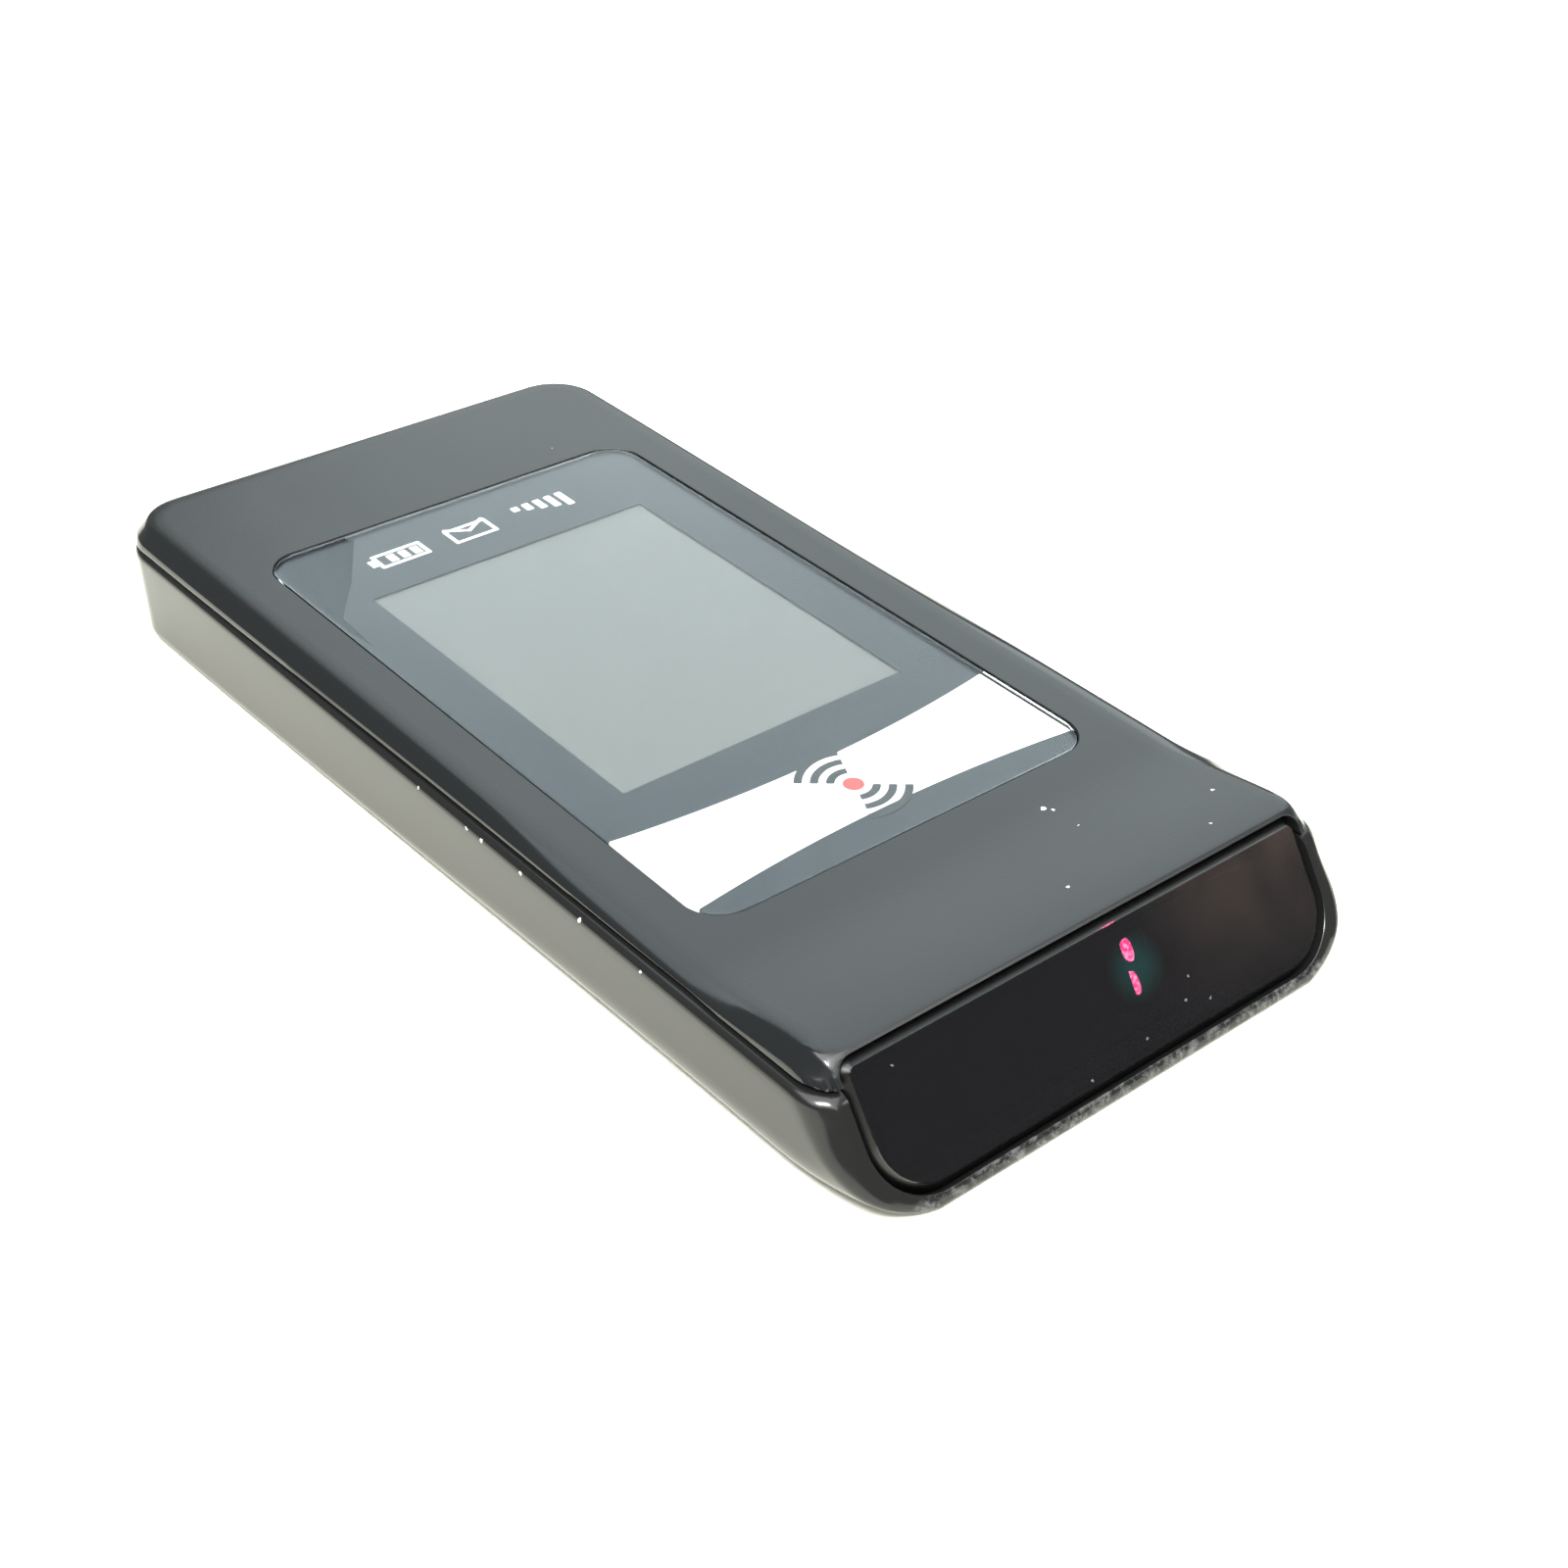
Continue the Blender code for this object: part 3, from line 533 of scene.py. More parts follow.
def face_height(y):
    along = np.clip((RAMP_START - y) / RAMP_LENGTH, 0.0, 1.0)
    return CREST_Z * along * along * (3 - 2 * along)


def back_height(y):
    return -BACK_DEPTH - BACK_SLOPE * y


def seam_height(y):
    return -SEAM_DEPTH - SEAM_SLOPE * y


def smooth_step(value, low, high):
    share = np.clip((value - low) / (high - low), 0.0, 1.0)
    return share * share * (3 - 2 * share)


def rounded(first, second, radius):
    """The overlap of two distances, with a fillet where they meet."""
    inside = np.minimum(np.maximum(first, second), -radius)
    return inside + np.hypot(np.maximum(first + radius, 0), np.maximum(second + radius, 0))


def half_width(y, z, side):
    """Half the width of the body; the front shell is narrower, so a small ledge shows."""
    inset = 0.2 + 0.6 * smooth_step(-y, -45.0, 20.0) if side == "front" else 0.0
    return HALF_WIDTH + SIDE_DRAFT * z - inset


def edge_drop(y):
    """How far the front's shoulder comes down; a narrow upright strip is left below it."""
    return np.maximum(face_height(y) - seam_height(y) - STRIP_HEIGHT, LEAST_DROP)


def slope_place(y, z):
    """Distance down the window's slope from the crest, and distance out from its plane."""
    return (-(y - CREST_Y) * WINDOW_COS - (z - CREST_Z) * WINDOW_SIN,
            -(y - CREST_Y) * WINDOW_SIN + (z - CREST_Z) * WINDOW_COS)


def side_edge(down):
    """The fillet between the window end and a side wall; it tightens towards the lip."""
    return NEAR_CORNER + (LIP_EDGE - NEAR_CORNER) * smooth_step(down, 4.0, 12.5)


def body_distance(points, side):
    """How far points lie outside the front or the rear shell."""
    x, y, z = np.abs(points[:, 0]), points[:, 1], points[:, 2]
    down, window = slope_place(y, z)
    outward = np.maximum(x - half_width(y, z, side) + LIP_CORNER, 0)
    below = np.maximum(down - LIP_DOWN + LIP_CORNER, 0)
    reach = np.hypot(outward, below)
    outline = rounded(reach - LIP_CORNER, y - FAR_END, FAR_CORNER)
    top, drop = z - face_height(y), edge_drop(y)
    shoulder = ((outline + FACE_EDGE) * drop + top * FACE_EDGE) / np.hypot(drop, FACE_EDGE)
    body = rounded(rounded(outline, top, OUTER_EDGE), shoulder, SHOULDER_EDGE)
    back_edge = FAR_BACK_EDGE + (NEAR_BACK_EDGE - FAR_BACK_EDGE) * smooth_step(-y, -45.0, 50.0)
    sideways = np.where(below > 0, outward / np.maximum(reach, 1e-9), 1.0)
    body = rounded(body, back_height(y) - z, back_edge * sideways)
    near_edge = CREST_EDGE + (LIP_EDGE - CREST_EDGE) * smooth_step(down, 6.0, 12.0)
    near_edge = near_edge + (side_edge(down) - near_edge) * smooth_step(x, 24.4, 27.4)
    body = rounded(body, window, near_edge)
    if side == "front":
        return rounded(body, seam_height(y) + SEAM_GAP / 2 - z, FRONT_SEAM_EDGE)
    return rounded(body, z - seam_height(y) + SEAM_GAP / 2, REAR_SEAM_EDGE)


print("the face rises by", CREST_Z, "mm at the crest")

# %% [markdown]
# A shell starts as a cube. Bisecting it many times gives it a grid whose lines crowd together
# where an edge will be rounded. The grid is then stretched onto the sharp body, and each point
# steps along the steepest way to the rounded surface. This is what a sculptor's pressing tool
# does, and it leaves even quads on every fillet.

# %% Grid lines and pressing
LEAST_STEP = 0.09
NUDGE = 1e-4


def arc_lines(radius, steps):
    """Distances from an edge that spread evenly over a quarter round of that radius."""
    return [radius * (1 - math.tan(math.pi / 4 * step / steps)) for step in range(steps + 1)]


def grid_shares(low_lines, high_lines, length, step, extra=()):
    """Places of the cuts along one edge of the cube, as shares of its length."""
    cuts = sorted(set([v for v in low_lines if v > 0] + [length - v for v in high_lines if v > 0]
                      + list(extra)))
    filled = [0.0]
    for cut in cuts + [length]:
        count = max(1, math.ceil((cut - filled[-1]) / step))
        start = filled[-1]
        filled += [start + (cut - start) * (i + 1) / count for i in range(count)]
    spaced = [filled[0]]
    for cut in filled[1:]:
        if cut - spaced[-1] > LEAST_STEP:
            spaced.append(cut)
    return [cut / length for cut in spaced if 0.001 < cut / length < 0.999]


def gridded_cube(name, shares):
    """A unit cube cut by planes at the given shares along x, y and z."""
    bpy.ops.object.select_all(action="DESELECT")
    bpy.ops.mesh.primitive_cube_add(size=1, location=(0.5, 0.5, 0.5))
    piece = new_piece(name)
    bpy.ops.object.transform_apply(location=True, rotation=True, scale=True)
    bpy.ops.object.mode_set(mode="EDIT")
    for axis, cuts in enumerate(shares):
        normal = [1.0 if index == axis else 0.0 for index in range(3)]
        for cut in cuts:
            bpy.ops.mesh.select_all(action="SELECT")
            bpy.ops.mesh.bisect(plane_co=[cut * n for n in normal], plane_no=normal)
    leave_edit()
    return piece


def bend_corner(along, across):
    """Bend a square corner's grid into a quarter disc; both run from the round's centre."""
    reach = np.maximum(np.maximum(along, across), 1e-9)
    share = np.where(along >= across, across / reach, 2 - along / reach)
    angle = math.pi / 4 * share
    bent = (along > 0) & (across > 0)
    return (np.where(bent, reach * np.cos(angle), along),
            np.where(bent, reach * np.sin(angle), across))


def press(piece, walls, side):
    """Stretch a gridded cube over the sharp body, then press it onto the rounded form."""
    points = np.empty(len(piece.data.vertices) * 3)
    piece.data.vertices.foreach_get("co", points)
    u, v, w = points.reshape(-1, 3).T

    def height(y):
        low = seam_height(y) + SEAM_GAP / 2 if side == "front" else back_height(y) + walls["side"]
        high = seam_height(y) - SEAM_GAP / 2 if side == "rear" else face_height(y) - walls["face"]
        return low + w * (high - low)

    near_y = np.full_like(u, -58.0)
    for _ in range(6):
        rise = (height(near_y) - CREST_Z) * WINDOW_COS
        near_y = CREST_Y + (rise + walls["window"]) / WINDOW_SIN
    y = near_y + v * (FAR_END - walls["side"] - near_y)
    across = np.abs(2 * u - 1) * (half_width(y, height(y), side) - walls["side"])
    centre = half_width(y, height(y), side) - FAR_CORNER
    across, ahead = bend_corner(across - centre, y - FAR_END + FAR_CORNER)
    across, y = across + centre, ahead + FAR_END - FAR_CORNER
    down, out = slope_place(y, height(y))
    edge = side_edge(down) * walls["round"]
    centre = half_width(y, height(y), side) - walls["side"] - edge
    across, ahead = bend_corner(across - centre, out + walls["window"] + edge)
    across, y = across + centre, y - (ahead - walls["window"] - edge - out) / WINDOW_SIN
    down, out = slope_place(y, height(y))
    centre = half_width(y, height(y), side) - LIP_CORNER
    across, ahead = bend_corner(across - centre, down - LIP_DOWN + LIP_CORNER)
    across, shift = across + centre, ahead + LIP_DOWN - LIP_CORNER - down
    z = height(y) - shift * WINDOW_SIN
    points = np.stack([np.sign(2 * u - 1) * across, y - shift * WINDOW_COS, z], axis=1)
    for _ in range(0 if side == "whole" else PRESS_STEPS):
        value = body_distance(points, side)
        slope = np.stack([(body_distance(points + NUDGE * axis, side)
                           - body_distance(points - NUDGE * axis, side)) / (2 * NUDGE)
                          for axis in np.eye(3)], axis=1)
        length = np.maximum((slope * slope).sum(axis=1), 0.25)
        points = points - PRESS_SHARE * (value / length)[:, None] * slope
    piece.data.vertices.foreach_set("co", (points * MM).ravel())
    piece.data.update()
    return piece


# %% [markdown]
# ## Two shells and the hollow between them
#
# The same grid recipe makes the front shell, the rear shell and the hollow that is cut from
# both. The hollow is the same body with every surface drawn in by a wall thickness, so the
# walls come out even.

# %% Make the three forms
SOLID = {"side": 0.0, "face": 0.0, "window": 0.0, "round": 1.0}
HOLLOW = {"side": 1.8, "face": 2.2, "window": 2.8, "round": 0.35}
FRONT_HEIGHT = 2.4
REAR_HEIGHT = 9.8
HOLLOW_HEIGHT = 11.5
BODY_LENGTH = 112.0
ACROSS = arc_lines(FACE_EDGE, 7) + arc_lines(REAR_SEAM_EDGE, 4)[:-1] + arc_lines(FAR_CORNER, 7)[:-1]
ALONG_NEAR = arc_lines(NEAR_CORNER, 6) + arc_lines(LIP_EDGE, 3)[:-1] + arc_lines(CREST_EDGE, 2)[:-1]


def body_form(name, walls, side, height, upright, fine=1.0):
    """One closed form: the front shell, the rear shell or the hollow."""
    shares = (
        grid_shares(ACROSS, ACROSS, 2 * HALF_WIDTH, 5.0 * fine, [HALF_WIDTH]),
        grid_shares(ALONG_NEAR, ACROSS, BODY_LENGTH, 3.2 * fine,
                    [3.2 + 1.1 * step for step in range(14)]),
        grid_shares(upright[0], upright[1], height, 0.9 * fine),
    )
    return press(gridded_cube(name, shares), walls, side)


front = body_form("front_shell", SOLID, "front", FRONT_HEIGHT,
                  (arc_lines(FRONT_SEAM_EDGE, 2), arc_lines(1.5, 7)))
rear = body_form("rear_shell", SOLID, "rear", REAR_HEIGHT,
                 (arc_lines(2.6, 7), arc_lines(REAR_SEAM_EDGE, 5)))
for shell in (front, rear):
    carve(shell, body_form("hollow", HOLLOW, "whole", HOLLOW_HEIGHT,
                           (arc_lines(1.0, 2), arc_lines(1.0, 2)), fine=2.0))
print("front:", len(front.data.polygons), "rear:", len(rear.data.polygons), "faces")

# %% [markdown]
# ## Pockets and holes
#
# The lens and the window each drop into a shallow pocket with a ledge behind it. Every pocket
# tool is a slab with its own flared mouth, so the cut leaves a tiny bright chamfer, as a mould
# does. Window tools are drawn flat and then laid on the window's slope.

# %% Tools with a flared mouth, and the window's slope
LENS_SIZE = (43.1, 70.7)
LENS_CORNER = 3.6
POCKET_GAP = 0.12
POCKET_FLOOR = -1.5
WINDOW_HALF = 25.3
WINDOW_DOWN = (0.45, 12.9)
WINDOW_CORNERS = (5.6, 1.3)
WINDOW_THICK = 1.5
WINDOW_GAP = 0.14
SIGHT_HALF = 23.6
SIGHT_DOWN = (2.2, 10.4)
ON_WINDOW = Matrix(((1, 0, 0, 0), (0, WINDOW_COS, -WINDOW_SIN, CREST_Y * MM),
                    (0, WINDOW_SIN, WINDOW_COS, CREST_Z * MM), (0, 0, 0, 1)))


def flared_slab(name, x_span, y_span, floor_z, corners, flare, reach=3.0):
    """A pocket tool whose mouth widens by the flare just at z = 0."""
    piece = slab(name, x_span, y_span, (floor_z, -flare), corners, segments=12)
    pick_elements(piece, "FACE", lambda ends: all(abs(e.z + flare) < CLOSE for e in ends))
    bpy.ops.mesh.extrude_region_move(TRANSFORM_OT_translate={"value": (0, 0, 2 * flare * MM)})
    wide = [1 + 4 * flare / (span[1] - span[0]) for span in (x_span, y_span)]
    middle = [sum(span) / 2 * MM for span in (x_span, y_span)]
    bpy.ops.transform.resize(value=(wide[0], wide[1], 1.0),
                             center_override=(middle[0], middle[1], 0.0))
    bpy.ops.mesh.extrude_region_move(TRANSFORM_OT_translate={"value": (0, 0, reach * MM)})
    leave_edit()
    return piece


def lens_span(index, grow):
    return (-LENS_SIZE[index] / 2 - grow, LENS_SIZE[index] / 2 + grow)


carve(front, flared_slab("lens_pocket", lens_span(0, POCKET_GAP), lens_span(1, POCKET_GAP),
                         POCKET_FLOOR, [LENS_CORNER + POCKET_GAP] * 2, 0.07))
carve(front, slab("screen_opening", (-18.7, 18.7), (-18.7, 31.3), (-4.0, 0.0), (0.6, 0.6)))
for shell in (front, rear):
    pocket = flared_slab("window_pocket", (-WINDOW_HALF - WINDOW_GAP, WINDOW_HALF + WINDOW_GAP),
                         (-WINDOW_DOWN[1] - WINDOW_GAP, -WINDOW_DOWN[0] + WINDOW_GAP), -2.0,
                         [radius + WINDOW_GAP for radius in WINDOW_CORNERS], 0.05)
    carve(shell, pocket, place=ON_WINDOW)
    sight = slab("window_sight", (-SIGHT_HALF, SIGHT_HALF), (-SIGHT_DOWN[1], -SIGHT_DOWN[0]),
                 (-6.0, 0.0), (3.0, 0.8))
    carve(shell, sight, place=ON_WINDOW)
print("front after its pockets:", len(front.data.polygons), "faces")

# %% [markdown]
# The back has what a mould and an assembler need: counterbored screw holes over posts, two
# windows for the charging pads, five sound holes in a ring, a shallow bed for the label, and a
# slot in the right wall for the key. Posts are joined on before their holes are cut.

# %% Posts, holes and the key's slot
SCREWS_AT = [(-23.0, -45.5), (23.0, -45.5), (-22.5, 46.5), (22.5, 46.5)]
CONTACTS_AT = {"left": (-21.0, 36.0), "right": (21.0, 36.0)}
SOUNDER_AT = (12.0, -43.0)
SOUND_HOLES = 5
SOUND_RING = 2.6
KEY_Y = 12.0
KEY_Z = -7.0
LABEL_Y = 8.0
LABEL_HALF = (18.0, 23.0)
ON_BACK = (Matrix.Translation((0.0, LABEL_Y * MM, back_height(LABEL_Y) * MM))
           @ Matrix.Rotation(-math.atan(BACK_SLOPE), 4, "X"))


def flared_hole(name, at, radius, depth, flare):
    """A hole tool up into the back, with a chamfered mouth."""
    seat = float(back_height(at[1]))
    tool = pin(name, at, radius, (seat - 1.0, seat + depth))
    mouth = pin(name + "_mouth", at, radius + flare, (seat - 1.0, seat + flare))
    pick_elements(mouth, "FACE", lambda ends: len(ends) > 4 and ends[0].z > seat)
    narrow = radius / (radius + flare)
    bpy.ops.transform.resize(value=(narrow, narrow, 1.0),
                             center_override=(at[0] * MM, at[1] * MM, 0.0))
    leave_edit()
    carve(tool, mouth, "UNION")
    return tool


for index, at in enumerate(SCREWS_AT):
    seat = float(back_height(at[1]))
    foot = -4.9 if at[1] > 0 else -6.0
    carve(front, pin(f"front_post_{index}", at, 2.3, (foot, -1.2)), "UNION")
    carve(front, pin(f"pilot_{index}", at, 1.0, (foot - 1.5, foot + 2.5)))
    carve(rear, pin(f"rear_post_{index}", at, 2.7, (seat + 1.0, -6.3)), "UNION")
    carve(rear, flared_hole(f"head_hole_{index}", at, 2.0, 1.6, 0.25))
    carve(rear, pin(f"shank_hole_{index}", at, 1.15, (seat - 0.5, seat + 8.5)))
for side_name, at in CONTACTS_AT.items():
    carve(rear, flared_hole(f"contact_hole_{side_name}", at, 2.3, 2.5, 0.25))
for index in range(SOUND_HOLES):
    angle = math.radians(360 / SOUND_HOLES * index)
    spot = (SOUNDER_AT[0] + SOUND_RING * math.cos(angle),
            SOUNDER_AT[1] + SOUND_RING * math.sin(angle))
    carve(rear, flared_hole(f"sound_hole_{index}", spot, 0.6, 2.5, 0.15))

label_bed = slab("label_bed", (-LABEL_HALF[0] - 0.3, LABEL_HALF[0] + 0.3),
                 (-LABEL_HALF[1] - 0.3, LABEL_HALF[1] + 0.3), (-1.0, 0.5), (1.8, 1.8))
carve(rear, label_bed, place=ON_BACK)

ON_KEY = Matrix(((0, 0, 1, 0), (1, 0, 0, KEY_Y * MM), (0, 1, 0, KEY_Z * MM), (0, 0, 0, 1)))
key_slot = slab("key_slot", (-6.2, 6.2), (-1.8, 1.8), (24.0, 32.0), (0.7, 0.7))
carve(rear, key_slot, place=ON_KEY)
finish_piece(front, FRONT_FINISH, "case", "shell", "front_housing")
finish_piece(rear, REAR_FINISH, "case", "shell", "rear_housing")

# %% [markdown]
# ## The lens and its print
#
# The lens is clear plastic a millimetre thick. Its border, the white band and the small signs
# are printed on its underside, so they sit slightly below the gloss, and the display shows
# through an opening in the print. A clear piece over thin printed plates gives that depth for
# real. The signs are plain ones of our own: a broadcast sign on the band, and signal bars, a
# battery and an envelope at the far end.

# %% Clear, printed and dark finishes for the display
CLEAR_FINISH, tree, shader, place = new_finish("clear_lens", (0.97, 0.985, 0.99), 0.02,
                                               IOR=1.21, Transmission_Weight=1.0)
smudge = effect(tree, SMUDGE, place, Scale=70.0, Contrast=1.5)
feed(tree, shader, Roughness=mix_value(tree, smudge, 0.0, 0.03))


def ink_finish(name, colour, roughness, scale, contrast, dark, light):
    """A printed ink whose tone drifts a little between two colours."""
    finish, tree, shader, place = new_finish(name, colour, roughness)
    smudge = effect(tree, SMUDGE, place, Scale=scale, Contrast=contrast)
    feed(tree, shader, Base_Color=mix_colour(tree, smudge, (*dark, 1.0), (*light, 1.0)))
    return finish


INK_FINISH = ink_finish("dark_ink", (0.010, 0.015, 0.018), 0.45, 90.0, 1.2,
                        (0.0135, 0.021, 0.026), (0.0165, 0.025, 0.031))
WHITE_FINISH = ink_finish("white_ink", (0.90, 0.90, 0.90), 0.4, 120.0, 1.0,
                          (0.88, 0.885, 0.89), (0.92, 0.92, 0.915))
GREY_FINISH = ink_finish("grey_ink", (0.012, 0.014, 0.015), 0.4, 400.0, 1.0,
                         (0.014, 0.017, 0.018), (0.020, 0.023, 0.024))
PINK_FINISH = ink_finish("pink_ink", (0.29, 0.04, 0.04), 0.4, 400.0, 1.0,
                         (0.38, 0.045, 0.045), (0.44, 0.07, 0.07))

# %% The clear lens
lens = slab("cover_lens", lens_span(0, 0.0), lens_span(1, 0.0), (-0.90, 0.0),
            (LENS_CORNER, LENS_CORNER), rim=0.22, segments=14)
finish_piece(lens, CLEAR_FINISH, "case", "lens", "display_lens")

# %% The dark border print, with its opening
SCREEN_HALF = 15.85
SCREEN_SPAN = (-16.1, 23.9)
PRINT_TOP = -0.93
PRINT_BOTTOM = -0.99
border = slab("border_print", lens_span(0, -0.05), lens_span(1, -0.05),
              (PRINT_BOTTOM, PRINT_TOP - 0.03), (LENS_CORNER, LENS_CORNER), segments=14)
carve(border, slab("screen_sight", (-SCREEN_HALF, SCREEN_HALF), SCREEN_SPAN, (-2.0, 1.0),
                   (0.15, 0.15), segments=2))
finish_piece(border, INK_FINISH, "case", "lens")

# %% [markdown]
# The white band has curved sides: the one nearer the display bows away from it, and the other
# bows towards the window. It starts as a strip, is subdivided across, and each point is moved
# to its curve. Moving only whole columns keeps the strip's faces clean.

# %% The white band
BAND_HALF = 21.4
BAND_HIGH = (-22.55, 1.65)
BAND_LOW = (-31.1, -1.5)
band = slab("band_print", (-BAND_HALF, BAND_HALF), (-1.0, 1.0), (PRINT_TOP - 0.02, PRINT_TOP))
pick_elements(band, "EDGE", lambda ends: abs(ends[0].x - ends[1].x) > BAND_HALF)
bpy.ops.mesh.subdivide(number_cuts=30)
leave_edit()
for vertex in band.data.vertices:
    middle, bow = BAND_HIGH if vertex.co.y > 0 else BAND_LOW
    share = vertex.co.x / MM / BAND_HALF
    vertex.co.y = (middle + bow * share * share) * MM
finish_piece(band, WHITE_FINISH, "case", "lens")

# %% [markdown]
# The broadcast sign is three pairs of arcs around a dot. One arc is a flat ring section: a thin
# bar is spun through the arc's angle about the sign's centre, and the others repeat it.

# %% The broadcast sign
SIGN_AT = (0.6, -27.0)
SIGN_TOP = PRINT_TOP + 0.012
ARC_HALF = math.radians(38)


def arc_plate(name, radius, width, start):
    """A thin arc about the sign's centre, spun from a small bar."""
    piece = slab(name, (radius - width / 2, radius + width / 2), (-0.01, 0.0),
                 (PRINT_TOP + 0.002, SIGN_TOP))
    pick_elements(piece, "FACE", lambda ends: all(end.y > -CLOSE for end in ends))
    bpy.ops.mesh.spin(steps=14, angle=2 * ARC_HALF, center=(0, 0, 0), axis=(0, 0, 1))
    leave_edit()
    bpy.ops.object.mode_set(mode="EDIT")
    bpy.ops.mesh.select_all(action="SELECT")
    bpy.ops.mesh.remove_doubles(threshold=1e-7)
    bpy.ops.mesh.normals_make_consistent(inside=False)
    leave_edit()
    place = Matrix.Translation((SIGN_AT[0] * MM, SIGN_AT[1] * MM, 0.0))
    bake_place(piece, place @ Matrix.Rotation(start, 4, "Z"))
    return piece


for number, radius in enumerate((2.0, 3.4, 4.8)):
    for turn, label in ((-ARC_HALF, "right"), (math.pi - ARC_HALF, "left")):
        arc = arc_plate(f"sign_arc_{label}_{number + 1}", radius, 0.75, turn)
        finish_piece(arc, GREY_FINISH, "case", "lens")
dot = pin("sign_dot", SIGN_AT, 0.95, (PRINT_TOP + 0.002, SIGN_TOP))
finish_piece(dot, PINK_FINISH, "case", "lens")

# %% [markdown]
# The small white signs stand in a row at the far end and read from the other side, so their
# tops point towards the window. They are flat bars and frames, and two bars crossed as a fold.

# %% Signal bars, envelope and battery
SMALL_SPAN = (PRINT_TOP - 0.025, PRINT_TOP - 0.005)
ROW_FOOT = 30.9
SIGN_LINE = 0.42
FLAP_ANGLE = math.radians(32)


def mark(name, x_span, height):
    """A plain white bar that rises from the row's foot."""
    return slab(name, x_span, (ROW_FOOT - height, ROW_FOOT), SMALL_SPAN, (0.12, 0.12), segments=2)


def framed(name, x_span, height, line):
    """A thin rectangular outline."""
    piece = mark(name, x_span, height)
    hole = slab(name + "_hole", (x_span[0] + line, x_span[1] - line),
                (ROW_FOOT - height + line, ROW_FOOT - line), (-2.0, 0.0))
    carve(piece, hole)
    return piece


for index in range(5):
    start = 10.9 - 0.95 - 1.35 * index
    bar = mark(f"signal_bar_{index + 1}", (start, start + 0.8), 2.9 - 0.5 * index)
    finish_piece(bar, WHITE_FINISH, "case", "lens")
envelope = framed("envelope_sign", (-3.6, 1.4), 2.9, SIGN_LINE)
fold = Matrix.Translation((-1.1 * MM, (ROW_FOOT - 1.25) * MM, 0.0))
for hand, half_turn in ((-1, math.pi), (1, 0.0)):
    flap = slab(f"flap_{hand}", (-0.2, 2.75), (-0.2, 0.2), SMALL_SPAN)
    bake_place(flap, fold @ Matrix.Rotation(half_turn, 4, "Z")
               @ Matrix.Rotation(hand * FLAP_ANGLE, 4, "Z"))
    carve(envelope, flap, "UNION")
finish_piece(envelope, WHITE_FINISH, "case", "lens")
battery = framed("battery_sign", (-12.0, -6.4), 2.7, SIGN_LINE)
carve(battery, slab("battery_nub", (-12.7, -11.9), (ROW_FOOT - 2.0, ROW_FOOT - 0.7), SMALL_SPAN),
      "UNION")
for index in range(3):
    start = -7.9 - 1.35 * index
    cell = slab(f"battery_cell_{index}", (start, start + 0.85), (ROW_FOOT - 2.05, ROW_FOOT - 0.65),
                SMALL_SPAN)
    finish_piece(cell, WHITE_FINISH, "case", "lens")
finish_piece(battery, WHITE_FINISH, "case", "lens")

# %% [markdown]
# ## The alert window
#
# The window is a thick pane of tinted plastic with a flat chamfer round its front, which is
# black and a little rough and shows as a thin line. The pane's colour is nearly black too, and
# only a strong light behind it shows through. Its upper right carries a brown painted reflection
# in its colour, and a faint teal glow round the lights is painted on the pane as emission.

# %% Window pane
WINDOW_SPECKS = [(7.6, 9.8), (10.1, 10.7), (2.5, 10.9), (8.6, 8.2), (-4.0, 11.6), (-20.9, 2.6)]


def on_window(x, down):
    """Face coordinates of a place on the window, in millimetres."""
    return (x, CREST_Y - WINDOW_COS * down, CREST_Z - WINDOW_SIN * down)


TINT_FINISH, tree, shader, place = new_finish("tinted_window", (0.02, 0.02, 0.022), 0.06,
                                              IOR=1.49, Transmission_Weight=0.9,
                                              Emission_Strength=1.0)
axes = axes_of(tree, place)
# Painted reflection: a brownish sheen mixed into the pane's colour towards its upper right, varied
# by smudge noise.
reflection_x = ramp_between(tree, axes[0], 2.0 * MM, 23.0 * MM)
reflection_z = ramp_between(tree, axes[2], -10.0 * MM, 0.0)
smudge = effect(tree, SMUDGE, place, Scale=90.0, Contrast=1.6)
painted_reflection = product(tree, reflection_x, reflection_z, smudge)
tint = mix_colour(tree, painted_reflection, (0.020, 0.019, 0.023, 1.0), (0.26, 0.19, 0.16, 1.0))
marks = spots(tree, place, [(*on_window(x, down), 0.13) for x, down in WINDOW_SPECKS])
dust = effect(tree, SPECKS, place, Scale=520.0, Size=0.04, Amount=0.03)
marks = math_node(tree, "MAXIMUM", marks, dust)
outward = vector_value(tree, "DOT_PRODUCT", place, (0.0, -WINDOW_SIN, WINDOW_COS))
plane = CREST_Y * -WINDOW_SIN + CREST_Z * WINDOW_COS
rim = product(tree, ramp_between(tree, outward, (plane - 0.03) * MM, (plane - 0.12) * MM),
              ramp_between(tree, outward, (plane - 1.2) * MM, (plane - 1.0) * MM))
marked = mix_colour(tree, marks, tint, (0.9, 0.9, 0.9, 1.0))
# Painted glow: the pane itself emits a faint teal light round the two lights (Emission_Strength
# above), standing in for their light spreading in the plastic.
away = vector_value(tree, "DISTANCE", place, [v * MM for v in on_window(3.9, 5.4)])
painted_glow = ramp_between(tree, away, 3.3 * MM, 0.5 * MM)
feed(tree, shader, Base_Color=mix_colour(tree, rim, marked, (0.0, 0.0, 0.0, 1.0)),
     Roughness=mix_value(tree, rim, mix_value(tree, smudge, 0.03, 0.12), 0.3),
     Emission_Color=mix_colour(tree, painted_glow, (0.0, 0.0, 0.0, 1.0), (0.0, 0.032, 0.028, 1.0)))

